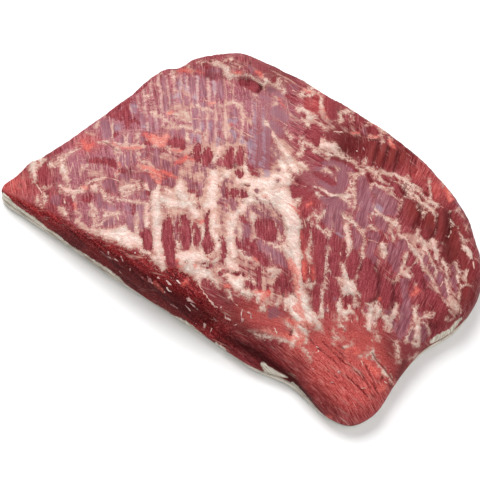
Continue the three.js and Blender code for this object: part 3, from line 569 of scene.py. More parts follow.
# Clefts between bundles, sunk, with painted shade in them
SLITS = {"columns": [
    (211,61,1.2), (219,275,.8), (206,229,1,206,236,.8), (232,272,.7,244,276,.7),
], "rear": [
    (338,109,.8,339,112,.7), (352,112,.6), (303,136,.6,306,132,.5),
], "right": [
    (294.5,273,.4,298,281,.6), (292,291,.4,297,299,.5), (279,275,.4,279,286,.4), (376,139,.8,379,140,.8),
    (369,175,1.2,371,180,1.4,374,182,.6), (385,178,.6,389,182,.8), (402,191,1.5,405,194,1.3,407,196,.5),
    (400,187,.8,402,191,1.2), (360,167,.7,362,168,.5), (356,169,.4,359,172,.5), (308,262,.5,308,278,.5),
    (345,246,.6,346,247,.6), (341,273,.7,342,277,.6), (310,282,.8), (326,250,.6), (217,163,.6,215.5,167,.6),
    (167,191,.7,168,193.5,.7), (243,184,.7,247,184.5,.9,250,186,.8), (277,184,.8,281,188,.7),
    (234.5,161,1,235,168,1.1), (298,180,.8), (306,196,.6,305,200,.5), (199,206,.5), (209,211,.5,207,216,.5),
    (420,206,1.2,423,210,1), (421,196,.8,423,201,.8), (426,192,1,428,195,1), (426,208,.8),
    (432,205,.7,434,207,.6), (399,290,.6,399,303,.7), (437,322,.4,437,328,.5), (348,290,.9,349,292,.6),
    (337,312,.9,337,314,.7), (318,300,.5), (346,306,.7), (320,305,.6,320,309,.6), (301,325,.9,303,328,.7),
    (306,323,.6,308,328,.6), (381,317,.8), (388,310,.6), (328,328,.6,331,331,.5), (341,328,.5,346,331,.5),
], "left": [
    (101,141,.4,107,143,.5,112,147,.6,118,151,.6), (146,151,.4,147,157,.5), (64,165,.4,68,162,.4),
    (118,142,.5), (145,144,.6), (98,190,.3), (232,127,.4,236,130,.4), (242,133,.4,244,134,.4),
    (216,104,.3,222,109,.3), (277,184,.6,283,190,.5,288,197,.2), (292,331,.9,291,334,1.8),
    (284,329,.3,290,332,.4), (260,85,.8,261,89,1.2,258,92,.9), (265,92,.2,276,99,.3),
], "near point": [
    (307,337,.3,316,346,.5,326,355,.5,336,363,.3), (322,341,.4,332,351,.6,342,361,.6,350,366,.3),
    (332,346,.3,340,353,.5,347,361,.4), (346,375,.5,355,383,.9,362,390,1,368,397,.8),
    (350,366,.3,358,373,.6,364,380,.5), (364,362,.5,368,370,.8,373,379,.8,376,389,1,379,394,.8),
    (361,372,.4,366,380,.7,371,388,.7), (321,362,.4,328,370,.4,338,378,.3), (328,332,.3,334,340,.4),
    (372,353,.4,377,361,.7,383,367,.8,389,375,.6,393,381,.4), (339,345,.6,345,350,.5),
    (383,377,.9,381,383,.6),
], "bundles": [
    (380,143,.3,378,151,.5,374,160,.5,370,168,.3), (391,146,.3,386,155,.5,380,166,.4),
    (399,150,.3,395,159,.5,389,169,.4), (410,161,.4,410,170,.5,412,180,.3),
    (427,177,.4,427,186,.5,430,195,.4), (420,204,.3,421,215,.6,418,224,.5,414,230,.3),
    (436,212,.3,437,224,.5,433,236,.5,430,241,.3), (449,207,.3,449,220,.5,446,234,.5,439,246,.4),
    (456,231,.3,452,243,.5,448,256,.4), (344,244,.3,345.5,252,.5,342,260,.3),
    (362,258,.3,361,268,.5,358,280,.4),
]}
# Small specks of marbling and gristle, and painted glints of wet light: all those on the near point and a few
# on the cut face and at the right
FLECKS_AND_GLINTS = {"right": [
    (248,357,.4), (356,150.5,.6,358,151.5,.7), (358,157,1), (403,167,.8), (363,147,.5,365,151,.4),
    (377,166,.7,377,168,.7), (370,199,.7), (362,202,.8), (385,274,.9), (314,246,.6), (314,255,.6),
], "cut face": [
    (108.5,251,.9,108.5,255,.8), (100,251,.5,105,254,.6), (107,256,.5,111,258,.6), (114,259,.7,119,261,1.2),
    (121,256,.5,123,262,.5), (119,271,.5,122,274,.5), (135,253,1.5), (139,262,.4), (130,268,.5,130,271,.5),
    (141,277,1,144,278,.5), (147,276,.7,150,280,1.6,153,284,1.2), (157,277,1,160,279,.8),
    (164.5,291,.8,164.5,293,1), (166,287,.8,169,291,1.2,172,292,.6), (166,280,.8,169,284,.9,172,285,.6),
    (171,278,.5), (176,280,.5,181,284,.5), (153,290,.4), (189,280,1.5), (187,289,.4),
    (186,298,1,190,300,1.4,196,304,.7), (170,304,.5,174,306,.7,178,309,.4), (180,297,.4),
    (185,305,.5,191,311,.5), (176,273,.5), (152,269,.4), (156,266,.5), (146,266,.5),
    (190,303,.9,194,306,.8,198,310,.5), (209,300,.8,213,304,.9,217,310,.4), (220,308,1.1,222,307,.6),
    (200,315,.4), (213,317,.6,215,320,1,218,322,.5), (225,314,.6,226,318,1,231,320,.5), (196,323,.8),
    (203,324,.8,206,328,1), (211,327,.4,211,332,.3), (234,326,.5,237,324,.5), (231,310,.5),
    (242,309,.7,241,315,.5,243,321,1,240,323,.6), (247,312,.7,251,316,.8,253,318,.4), (237,305,.6),
    (260,305,.5), (270,318,.9),
], "near point": [
    # these are all painted glints of wet light
    (312.5,340,1), (318,351.5,1), (313,369,1), (338,371,1.3,340,374,1), (316,346,.5,319,348,.5),
    (331,382,.5,334,383,.5), (342,388,.5), (321,403,.5),
]}
# Edge of the fat cap, where it laps up round the meat
RIND = {"near edge": [
    (3,194,1.2,5,199,3.2,10,205,3.2,17,209,2.6,24,213,1.8,33,219,1.8,41,225,1.4,50,232,1.3,60,238,1.1,70,
     246,1.4,78,252,1.2,87,256,.8,93,260,1.1,100,265,1.2,109,271,1.4,118,279,1.8,124,286,2.2,132,292,1.5,
     143,299,1.3,153,305,1.3,163,311,1.8,172,317,1.8,180,320,2.2,190,326,1.8,198,333,1.7,206,339,1.1,212,
     343,.5),
    (216,343,.8,225,350,.8),
], "lobes": [
    (261,361,.4,264,366,2.2,268,371,3.6,274,373,3,281,375,1.6,288,377,.5),
    (292,383,1.2,298,390,2.2,304,396,1.8,308,399,.8),
    (431,342,1.2,437,338,2.2,445,334,2.2,452,330,1.5,458,322,1,461,318,.6),
]}
# Painted shade on meat and fat: valleys, clefts, the cut face, far sides of lobes; x, y, radius, strength
PAINTED_SHADE = {"middle": [
    (222,335,6,.6,235,342,6,.9,247,348,6,1,262,358,7,1),
    (222,296,6,.3,234,312,8,.45,243,328,8,.5,254,337,5,.3),
], "slope": [
    (262,358,7,1,272,364,6,1,283,371,6,1,293,380,6,1,303,391,5,1,311,400,4,.9),
    (300,398,4,.6,313,404,3,.8,325,413,3,.4), (370,139,1,.8,378,140,1,.8),
], "right": [
    (404,186,4,.7,405,195,3,.5), (446,212,4,.6,448,228,5,.7,446,245,5,.6,450,262,4,.5), (418,222,4,.5),
    (430,230,4,.5), (415,162,2,.4,412,170,2,.3), (375,300,4,.6), (392,306,2.5,.6), (432,325,5,.5),
    (404,362,3,.5,398,378,4,.5), (390,386,3,.4), (360,160,5,.25),
], "top": [
    (100,262,20,.55,130,275,16,.7,160,290,14,.7,185,306,14,.8,205,318,12,.7), (60,240,10,.6,80,245,10,.7),
    (20,185,3,.5), (345,150,14,.4,352,138,12,.35), (128,172,4,.4), (235,165,2.5,.6), (298,181,3,.5),
    (284,286,4,.4), (184,284,3,.3),
], "lobes": [
    (360,256,1.5,.5,361,268,1.5,.5), (376,265,2,.5,379,280,2.5,.7,378,296,2.5,.7,369,303,2,.5),
    (393,284,1.5,.5,394,296,2,.7,390,309,2,.6), (419,204,2,.6,420,216,2.5,.7,413,227,2.5,.6),
    (437,216,1.5,.6,437,228,2,.7,430,239,2.5,.6), (429,227,6,.3),
    (450,212,2,.8,450,226,2.5,.8,446,239,2.5,.7), (450,251,8,.4),
    (378,143,1.5,.8,375,156,2,.7,372,166,1.5,.5), (388,147,1.5,.8,385,158,2,.7,382,168,1.5,.5),
    (398,151,1.5,.8,396,162,2,.7,393,171,1.5,.5), (424,280,1.5,.6,425,290,1.5,.5),
], "back pocket": [
    (260,84,1.5,.6,261,88,2,.9,258,92,1.5,.6),
], "near point": [
    (316,390,8,.3,328,405,8,.4,337,414,6,.3), (300,372,5,.35,306,382,5,.4), (373,396,2.5,.6),
    (389,355,5,.3,391,345,5,.3),
]}

# Soft ovals of the view: x, y, half width, half height, strength
MAUVE = [
    (205,112,75,42,1), (110,125,35,22,.8), (108,160,30,18,.9), (95,213,22,16,1), (132,208,22,20,.9),
    (72,170,14,24,1), (272,108,28,22,.6), (332,210,22,28,.3), (370,205,24,18,.5), (22,188,14,16,.3),
    (402,318,12,28,.2), (240,230,18,18,.6), (272,250,16,12,.8), (458,205,14,20,.4), (320,175,24,14,.5),
    (320,262,12,24,.3), (440,278,10,16,.3),
]
# Darker red meat, partly its own colour, partly painted shade in hollows and on shaded bundles
DEEP_RED_AND_PAINTED_SHADE = [
    (350,142,26,20,1), (388,156,24,16,1), (412,208,16,16,.8), (428,222,14,18,.8), (452,240,16,40,1),
    (466,290,14,30,.8), (436,316,20,14,.5), (288,78,22,8,.5), (210,62,30,7,.5), (408,150,14,12,.5),
    (322,396,20,14,.3), (390,345,16,22,.4), (90,245,24,8,.3), (282,72,26,7,.5), (250,309,22,11,.35),
    (212,299,16,12,.35),
]
# More scarlet meat, partly its own colour, partly painted light, chiefly on the near slope
BRIGHT_RED_AND_PAINTED_LIGHT = [
    (335,365,44,38,1), (360,385,32,36,.9), (14,185,20,14,.9), (255,312,30,14,.8), (315,103,12,12,.6),
    (418,172,14,10,.7), (436,190,10,12,.9), (305,262,8,20,.9), (310,205,12,10,.3), (365,355,22,16,.8),
    (330,335,26,20,.5), (88,143,14,10,.7), (280,325,18,10,.7), (366,322,18,28,.3), (240,325,20,14,.4),
    (110,246,22,7,.4), (294,350,14,10,.7),
]
# Thin pink membrane stretched over the muscle
VEIL = [
    (232,128,14,18,.4), (170,156,20,12,.5), (210,246,30,18,.4), (240,262,26,20,.7), (132,222,22,14,.5),
    (300,300,8,26,.7), (135,188,14,10,.4), (270,288,10,20,.8), (420,250,12,12,.5),
]
# The top edge of the long cut face, which lies below it
CUT_EDGE = [
    (2,190), (38,206), (62,217), (80,228), (93,235), (104,240), (120,247), (128,250), (138,252), (146,255),
    (152,260), (158,266), (164,270), (167,267), (178,267), (185,271), (192,277), (200,288), (214,304),
    (235,324), (262,342), (290,362), (312,392), (330,425),
]
# Where the cut face's crumbly end grain and its painted shade fade to the right, and where they have gone
CUT_FADES, CUT_ENDS = (210, 250), (340, 300)
# The grain on top fans out: the level where it is upright, and the stretches across and down
# the view where it comes to lean
FAN_LEVEL, FAN_LEANS, FAN_FALLS = 150, (260, 400), (120, 200)
# The near slope: its middle, its top edge at the left, and where its grain steepens
SLOPE_MIDDLE, SLOPE_TOP, SLOPE_STEEPENS = (340, 370), 235, (300, 390)
# The bare band behind: its left end, right end and foot
BAND_LEFT, BAND_RIGHT, BAND_FOOT = (250, 290), (345, 325), (205, 165)
# Where the wisps of membrane begin to fall
WISPS_FALL = 100

# Noises as amount, size in millimetres, and seed: what moves the edges of fat, and the swells
# and dimples of the meat
FAT_EDGE = ((1.2, 8, 23), (0.6, 4, 24))
FINE_FAT_EDGE = (*FAT_EDGE, (0.8, 2.4, 32))
MEAT_SWELLS = ((0.9, 26, 3), (0.35, 8, 4), (0.2, 3.6, 6))


# ---------------------------------------------------------------- shared shapes
def smooth_step(low, high, value):
    """0 below low, 1 above high, and a cubic ease between them."""
    share = np.clip((value - low) / (high - low), 0, 1)
    return share * share * (3 - 2 * share)


def lattice_noise(points, size, seed):
    """Smooth noise of about -1 to 1 with features of one size: each corner of a cubic lattice
    has a random slope, and the eight slopes round a point are blended by a quintic ease."""
    place = points / size
    cell = np.floor(place).astype(np.int64)
    part = place - cell
    ease = part**3 * (part * (part * 6 - 15) + 10)
    slopes = np.random.default_rng(seed).normal(size=(4096, 3))
    slopes /= np.linalg.norm(slopes, axis=1)[:, None]
    total = np.zeros(len(points))
    for corner in np.ndindex(2, 2, 2):
        key = cell + corner
        key = key[:, 0] * 73856093 ^ key[:, 1] * 19349663 ^ key[:, 2] * 83492791
        weight = np.prod(np.where(corner, ease, 1 - ease), axis=1)
        total += weight * np.einsum("ij,ij->i", slopes[key % 4096], part - corner)
    return total * 1.6


def noise_sum(points, noises):
    """The sum of lattice noises, each given as amount, size and seed."""
    return sum(amount * lattice_noise(points, size, seed) for amount, size, seed in noises)


def rounded_line(stations, place):
    """Centripetal Catmull-Rom curve through closed stations: within each pair, a cubic whose
    end slopes come from the neighbours, weighted by the square roots of their distances."""
    count = len(stations)
    index = np.floor(place).astype(int)
    share = (place - index)[:, None]
    before, start, end, after = (stations[(index + k) % count] for k in (-1, 0, 1, 2))

    def gap(one, other):
        return np.sqrt(np.linalg.norm(other - one, axis=1))[:, None]

    a, b, c = gap(before, start), gap(start, end), gap(end, after)
    leave = ((start - before) / a - (end - before) / (a + b) + (end - start) / b) * b
    arrive = ((end - start) / b - (after - start) / (b + c) + (after - end) / c) * b
    cubic = 2 * start - 2 * end + leave + arrive
    square = 3 * end - 3 * start - 2 * leave - arrive
    return start + leave * share + square * share**2 + cubic * share**3


def ring_average(values, rounds):
    """Each row averaged with its two neighbours round the ring, the given number of times."""
    for _ in range(rounds):
        values = (np.roll(values, 1, 0) + 2 * values + np.roll(values, -1, 0)) / 4
    return values


def rim_line(steps_long, steps_wide):
    """Points of the widest line evenly spaced on each of the four sides, their outward
    directions, and the height, inset, squareness and lip there."""
    places = []
    for side, start in enumerate(CORNERS):
        end = len(RIM) if side == 3 else CORNERS[side + 1]
        steps = steps_wide if side % 2 else steps_long
        fine = np.linspace(start, end, 401)
        moves = np.linalg.norm(np.diff(rounded_line(RIM[:, :2], fine), axis=0), axis=1)
        length = np.concatenate([[0], np.cumsum(moves)])
        places.append(np.interp(np.arange(steps) / steps * length[-1], length, fine))
    places = np.concatenate(places)
    rounds = RIM_SMOOTHING * (steps_long // FRAME_STEPS_LONG) ** 2
    line = rounded_line(RIM[:, :2], places)
    along = np.roll(line, -1, 0) - np.roll(line, 1, 0)
    outward = np.column_stack([along[:, 1], -along[:, 0]])
    outward = ring_average(outward / np.linalg.norm(outward, axis=1)[:, None], rounds)
    outward /= np.linalg.norm(outward, axis=1)[:, None]
    index = np.floor(places).astype(int)
    share = (places - index)[:, None]
    edge = RIM[index % len(RIM), 2:] * (1 - share) + RIM[(index + 1) % len(RIM), 2:] * share
    return line, outward, ring_average(edge, rounds)


def drawn_in(height):
    """How far the rim has drawn in at a height below the widest line: a quarter circle."""
    return UNDERCUT * (1 - np.cos(np.arcsin(1 - height / WIDEST_HEIGHT)))


def cap_outline(line, outward, lip, height):
    """The fat cap's edge at a height: the widest line drawn in as the meat is, with the lip
    standing out by the square root of a half sine."""
    bulge = np.sqrt(max(sin(pi * height / CAP_THICKNESS), 0))
    return line - outward * (drawn_in(height) - lip[:, None] * bulge)


def blended_grid(ring, steps_long, steps_wide):
    """Coons patch: the four sides of a ring blended across a grid of rows (across) and
    columns (along), as the sum of both pairs of sides less the bilinear blend of corners."""
    front = ring[: steps_long + 1]
    right = ring[steps_long : steps_long + steps_wide + 1]
    back = ring[steps_long + steps_wide : 2 * steps_long + steps_wide + 1][::-1]
    left = np.concatenate([ring[2 * steps_long + steps_wide :], ring[:1]])[::-1]
    u = np.linspace(0, 1, steps_long + 1)[None, :, None]
    v = np.linspace(0, 1, steps_wide + 1)[:, None, None]
    sides = (1 - v) * front[None] + v * back[None] + (1 - u) * left[:, None] + u * right[:, None]
    corners = (1 - u) * (1 - v) * front[0] + u * (1 - v) * front[-1]
    corners = corners + (1 - u) * v * back[0] + u * v * back[-1]
    return sides - corners, u[..., 0], v[..., 0]


def closed_slab(rings, grid, steps_long, steps_wide, grid_up):
    """One closed skin: rings joined by walls, a grid bounded by the last ring, and a fan over
    the first. Returns the points, the four-sided faces and the three-sided ones."""
    count = len(rings[0])
    walls = np.concatenate(rings[:-1])
    start = len(walls)
    columns = steps_long + 1
    index = start + np.arange(columns * (steps_wide + 1)).reshape(steps_wide + 1, columns)
    rim_index = np.concatenate([index[0, :-1], index[:-1, -1], index[-1, :0:-1], index[:0:-1, 0]])
    around = np.arange(count)
    after = np.roll(around, -1)
    faces = []
    for level in range(len(rings) - 1):
        low = level * count + np.array([around, after])
        last = level == len(rings) - 2
        high = rim_index[[around, after]] if last else low + count
        faces.append(np.column_stack([low[0], low[1], high[1], high[0]]))
    inner = np.stack([index[:-1, :-1], index[:-1, 1:], index[1:, 1:], index[1:, :-1]], -1)
    faces.append(inner.reshape(-1, 4))
    quads = np.concatenate(faces)
    centre = start + index.size
    fan = np.column_stack([after, around, np.full(count, centre)])
    middle = np.array([[0.0, 0.0, rings[0][:, 2].mean()]])
    points = np.concatenate([walls, grid.reshape(-1, 3), middle])
    if not grid_up:
        quads, fan = quads[:, ::-1], fan[:, ::-1]
    return points, quads, fan


def new_piece(name, points, quads, triangles=None):
    """A mesh object from points in millimetres and arrays of faces, smooth shaded."""
    triangles = np.zeros((0, 3), int) if triangles is None else triangles
    mesh = bpy.data.meshes.new(name)
    mesh.vertices.add(len(points))
    mesh.vertices.foreach_set("co", (points * MM).astype(np.float32).ravel())
    loops = np.concatenate([quads.ravel(), triangles.ravel()])
    sizes = np.concatenate([np.full(len(quads), 4), np.full(len(triangles), 3)])
    mesh.loops.add(len(loops))
    mesh.loops.foreach_set("vertex_index", loops.astype(np.int32))
    mesh.polygons.add(len(sizes))
    starts = np.concatenate([[0], np.cumsum(sizes)[:-1]])
    mesh.polygons.foreach_set("loop_start", starts.astype(np.int32))
    mesh.polygons.foreach_set("use_smooth", np.ones(len(sizes), bool))
    mesh.update(calc_edges=True)
    mesh.validate()
    piece = bpy.data.objects.new(name, mesh)
    bpy.context.scene.collection.objects.link(piece)
    return piece


def surface_directions(piece):
    """The mesh's own outward direction at each point."""
    values = np.empty(len(piece.data.vertices) * 3, np.float32)
    piece.data.vertex_normals.foreach_get("vector", values)
    return values.reshape(-1, 3).astype(float)


def move_points(piece, points):
    """Puts new places, in millimetres, into the mesh."""
    piece.data.vertices.foreach_set("co", (points * MM).astype(np.float32).ravel())
    piece.data.update()


def store(piece, name, columns):
    """Keeps up to three values for each point as one vector attribute for the material."""
    values = np.zeros((len(piece.data.vertices), 3), np.float32)
    for place, column in enumerate(columns):
        values[:, place] = column
    attribute = piece.data.attributes.new(name, "FLOAT_VECTOR", "POINT")
    attribute.data.foreach_set("vector", values.ravel())


def mesh_arrays(piece):
    """A piece's points, in millimetres, and its four-sided faces, which come first in its mesh."""
    mesh = piece.data
    points = np.empty(len(mesh.vertices) * 3, np.float32)
    mesh.vertices.foreach_get("co", points)
    corners = np.empty(len(mesh.loops), np.int32)
    mesh.loops.foreach_get("vertex_index", corners)
    sizes = np.empty(len(mesh.polygons), np.int32)
    mesh.polygons.foreach_get("loop_total", sizes)
    return points.reshape(-1, 3).astype(float) / MM, corners[: 4 * np.sum(sizes == 4)].reshape(-1, 4)


def form_rise(points, forms):
    """Height added by the named ridges and hollows: a bell curve of the distance to each."""
    rise = np.zeros(len(points))
    for form in forms:
        start, end, width, height = form[:3], form[3:6], form[6], form[7]
        run = end - start
        share = np.clip((points - start) @ run / (run @ run), 0, 1)
        away = np.linalg.norm(points - start - share[:, None] * run, axis=1)
        rise += height * np.exp(-((away / width) ** 2))
    return rise * smooth_step(WIDEST_HEIGHT - 2, WIDEST_HEIGHT + 8, points[:, 2])


# ---------------------------------------------------------------- strokes on the surface
REACH = 10.0            # how far from a stroke its distance still counts, in pixels
STRAND_WIDTH = 0.7      # strokes of fat up to this half width are strands
SHEET_WIDTH = 2.2       # and over this one they are sheets
SHEET_DEPTH = 0.5       # how deep the sheets' lower side lies in the meat, in millimetres
SHEET_MARGIN = 0.5      # how far past the edge of the fat the sheets' faces reach, in pixels
STRAND_SIDES = 7
RING_SPACING = 0.9      # along a strand, in pixels
STRAND_RISE = 0.25      # a strand's height, as a share of its half width
STRAND_WAVER = 0.5      # how far a strand strays to each side, in pixels


def view_pixels(points):
    """Where points, in millimetres, fall in the 480 x 480 view: a perspective projection."""
    ray = points * MM - EYE
    depth = -(ray @ BACK)
    scale = LENS / SENSOR * VIEW_PIXELS / depth
    return np.column_stack([VIEW_PIXELS / 2 + ray @ RIGHT * scale, VIEW_PIXELS / 2 - ray @ UP * scale])


def lengths(groups, columns):
    """Both ends of each length of every stroke; a stroke of one point is one length."""
    for stroke in (stroke for strokes in groups.values() for stroke in strokes):
        run = np.array(stroke, float).reshape(-1, columns)
        yield from zip(run, run[1:] if len(run) > 1 else run)


def stroke_distance(spots, groups):
    """Distance in pixels from each spot to the nearest stroke's edge, negative inside. Along
    each length of a stroke the half width changes evenly from one end to the other."""
    nearest = np.full(len(spots), REACH)
    for start, end in lengths(groups, 3):
        middle, half = (start + end)[:2] / 2, np.abs(end - start)[:2] / 2
        room = half + max(start[2], end[2]) + REACH
        near = np.nonzero(np.all(np.abs(spots - middle) < room, axis=1))[0]
        step = (end - start)[:2]
        share = np.clip((spots[near] - start[:2]) @ step / max(step @ step, 1e-9), 0, 1)
        away = np.linalg.norm(spots[near] - start[:2] - share[:, None] * step, axis=1)
        away -= start[2] + share * (end[2] - start[2])
        nearest[near] = np.minimum(nearest[near], away)
    return nearest


def strokes_between(groups, low, high):
    """The strokes whose greatest half width is over one size and up to another."""
    strokes = [stroke for strokes in groups.values() for stroke in strokes]
    return {"chosen": [stroke for stroke in strokes if low < max(stroke[2::3]) <= high]}


def soft_strokes(spots, groups):
    """Shade of 0 to 1: a bell curve of the distance to each run of x, y, radius, strength."""
    shade = np.zeros(len(spots))
    for start, end in lengths(groups, 4):
        step = (end - start)[:2]
        share = np.clip((spots - start[:2]) @ step / max(step @ step, 1e-9), 0, 1)[:, None]
        here = start + share * (end - start)
        away = np.linalg.norm(spots - here[:, :2], axis=1) / here[:, 2]
        shade = np.maximum(shade, here[:, 3] * np.exp(-away**2))
    return shade


def soft_areas(spots, areas):
    """Sum of soft ovals, each strongest in its middle and fading as a bell curve."""
    total = np.zeros(len(spots))
    for x, y, across, along, strength in areas:
        total += strength * np.exp(-((spots[:, 0] - x) / across) ** 2 - ((spots[:, 1] - y) / along) ** 2)
    return np.clip(total, 0, 1)


def surface_under(spots, flat, points, facing):
    """Place and outward direction of the surface at each spot of the view: the mean of the
    points that lie within two pixels and face the camera, weighted by a bell curve."""
    shown = np.nonzero(facing @ BACK > 0.05)[0]
    cells = np.floor(flat[shown]).astype(int) @ (1, 1000)
    order = np.argsort(cells, kind="stable")
    shown, cells = shown[order], cells[order]
    weights = np.zeros(len(spots))
    place, outward = np.zeros((len(spots), 3)), np.zeros((len(spots), 3))
    for right in (-2, -1, 0, 1, 2):
        for down in (-2, -1, 0, 1, 2):
            cell = np.floor(spots + (right, down)).astype(int) @ (1, 1000)
            first = np.searchsorted(cells, cell)
            for offset in range(4):
                index = np.minimum(first + offset, len(cells) - 1)
                away = np.linalg.norm(flat[shown[index]] - spots, axis=1)
                weight = np.where(cells[index] == cell, np.exp(-(away**2) / 0.8), 0)
                weights += weight
                place += weight[:, None] * points[shown[index]]
                outward += weight[:, None] * facing[shown[index]]
    found = weights > 1e-4
    place[found] /= weights[found, None]
    outward[found] /= np.linalg.norm(outward[found], axis=1)[:, None]
    return place, outward, found


def tissue_spots(points):
    """Pixels of the view under each point, and the same moved by up to two pixels at three
    sizes, so that the edges of the strokes wander."""
    flat = np.column_stack([view_pixels(points), np.zeros(len(points))])
    warp = np.zeros((len(points), 2))
    for size, amount in ((13, 0.9), (6, 0.8), (3, 0.4)):
        for axis in (0, 1):
            warp[:, axis] += amount * lattice_noise(flat, size, 11 + axis + size * 2)
    return flat[:, :2], flat[:, :2] + warp


def split_faces(points, quads):
    """Each four-sided face cut into four, with new points at the middles of edges and faces."""
    edges = np.sort(np.stack([quads, np.roll(quads, -1, 1)], -1).reshape(-1, 2), 1)
    edges, which = np.unique(edges, axis=0, return_inverse=True)
    middles = len(points) + which.reshape(-1, 4)
    centres = len(points) + len(edges) + np.arange(len(quads))
    faces = [np.column_stack([quads[:, k], middles[:, k], centres, middles[:, k - 1]]) for k in range(4)]
    return np.concatenate([points, points[edges].mean(1), points[quads].mean(1)]), np.concatenate(faces)


def sheet_rise(points, height):
    """How far a sheet of fat stands off the meat, and what its material reads. It eases up to
    its height from its edge, which four noises and the windows move, lumps roughen it, and
    past its edge it dips below the meat."""
    flat, spots = tissue_spots(points)
    wisps = np.column_stack([*wisp_flow(flat, points, np.ones(len(points))), np.zeros(len(points))])
    noise = noise_sum(points, FINE_FAT_EDGE)
    noise += 1.1 * lattice_noise(wisps * (0.6, 0.1, 1), 1.0, 33)
    edge = stroke_distance(spots, strokes_between(FAT, SHEET_WIDTH, REACH)) + 0.3 + noise
    for windows in (ROSE, SILVER, BARE):
        edge = np.maximum(edge, 0.3 - stroke_distance(spots, windows) - 0.5 * noise)
    rise = height * smooth_step(0, -2.5, edge)
    rise += 0.12 * lattice_noise(points, 5, 34) * smooth_step(0, -2, edge)
    rise += 0.16 * lattice_noise(wisps * (0.5, 0.08, 1), 1.0, 35)
    rise += 0.1 * smooth_step(0.2, -0.6, edge)
    rise -= 0.4 * smooth_step(-0.1, 0.8, edge)
    stain, shade = stroke_distance(spots, BLOOD), 0.4 * soft_strokes(flat, PAINTED_SHADE)
    return rise, {"tissue_depth": (edge, stain, shade), "wisps": wisps.T}


def tissue_sheet(name, points, facing, quads, chosen, height):
    """A closed sheet lying on the meat. The chosen faces are cut in four; the upper side stands
    off the meat as sheet_rise says; the lower side lies SHEET_DEPTH below; and both share the
    points of their outline."""
    used, index = np.unique(quads[chosen], return_inverse=True)
    fine, faces = split_faces(np.column_stack([points, facing])[used], index.reshape(-1, 4))
    fine, outward = fine[:, :3], fine[:, 3:] / np.linalg.norm(fine[:, 3:], axis=1)[:, None]
    edges = np.sort(np.stack([faces, np.roll(faces, -1, 1)], -1).reshape(-1, 2), 1)
    edges, times = np.unique(edges, axis=0, return_counts=True)
    outline = np.zeros(len(fine), bool)
    outline[edges[times == 1]] = True
    rise, values = sheet_rise(fine, height)
    top = fine + outward * np.where(outline, -SHEET_DEPTH / 2, rise)[:, None]
    low = (fine - outward * SHEET_DEPTH)[~outline]
    under = np.where(outline, np.arange(len(fine)), len(fine) + np.cumsum(~outline) - 1)
    piece = new_piece(name, np.concatenate([top, low]), np.concatenate([faces, under[faces][:, ::-1]]))
    for attribute, columns in values.items():
        store(piece, attribute, [np.concatenate([column, column[~outline]]) for column in columns])
    return piece


def strand_skins(strokes, flat, points, facing):
    """Closed strands laid along strokes: rings of an ellipse square to the stroke, whose width
    wavers along it, narrowing to a point at both ends."""
    turns = np.arange(STRAND_SIDES) / STRAND_SIDES * 2 * pi
    skins, quads, fans, start = [], [], [], 0
    for number, stroke in enumerate(strokes):
        run = np.array(stroke, float).reshape(-1, 3)
        if len(run) == 1:
            run = np.concatenate([run - (run[0, 2] * 0.7, 0, 0), run + (run[0, 2] * 0.7, 0, 0)])
        length = np.concatenate([[0], np.cumsum(np.linalg.norm(np.diff(run[:, :2], axis=0), axis=1))])
        rings = max(6, int(length[-1] / RING_SPACING) + 4)
        way = np.linspace(0, length[-1], rings)
        spots = np.column_stack([np.interp(way, length, run[:, axis]) for axis in range(3)])
        for _ in range(2):
            spots[1:-1] = (spots[:-2] + 2 * spots[1:-1] + spots[2:]) / 4
        waver = np.column_stack([way, np.full(rings, number * 7.3), np.zeros(rings)])
        spots[:, 0] += STRAND_WAVER * lattice_noise(waver, 4.0, 61)
        spots[:, 1] += STRAND_WAVER * lattice_noise(waver, 4.0, 62)
        half = spots[:, 2] * (1 + 1.5 * lattice_noise(waver, 3.2, 63)).clip(0.08, 2)
        ends = np.minimum(way, length[-1] - way)
        half *= np.sqrt(np.clip(ends / np.maximum(1.6 * spots[:, 2], 0.8), 0.0004, 1))
        place, outward, found = surface_under(spots[:, :2], flat, points, facing)
        if not found.all():
            continue
        along = np.gradient(place, axis=0)
        across = np.cross(outward, along)
        across /= np.linalg.norm(across, axis=1)[:, None] + 1e-9
        rise = STRAND_RISE * half
        skin = place[:, None] + across[:, None] * (half[:, None] * 0.95 * np.cos(turns))[..., None]
        skin += outward[:, None] * (rise[:, None] * (np.sin(turns) + 0.1))[..., None]
        index = start + np.arange(rings * STRAND_SIDES).reshape(rings, STRAND_SIDES)
        turned = np.roll(index, -1, 1)
        quads.append(np.stack([index[:-1], turned[:-1], turned[1:], index[1:]], -1).reshape(-1, 4))
        for ring, flip in ((index[0], -1), (index[-1], 1)):
            fans.append(np.column_stack([
                np.full(STRAND_SIDES - 2, ring[0]), ring[1:-1], ring[2:]])[:, [0, 1, 2][::flip]])
        skins.append(skin.reshape(-1, 3))
        start += rings * STRAND_SIDES
    return np.concatenate(skins), np.concatenate(quads), np.concatenate(fans)


# ---------------------------------------------------------------- finishes
SHADED = "#1e0203"      # meat and fat in deep shade


def to_linear(hex_colour):
    """Linear red, green, blue and alpha from an sRGB hex value."""
    values = np.array([int(hex_colour[i : i + 2], 16) / 255 for i in (1, 3, 5)])
    linear = np.where(values <= 0.04045, values / 12.92, ((values + 0.055) / 1.055) ** 2.4)
    return (*linear, 1.0)


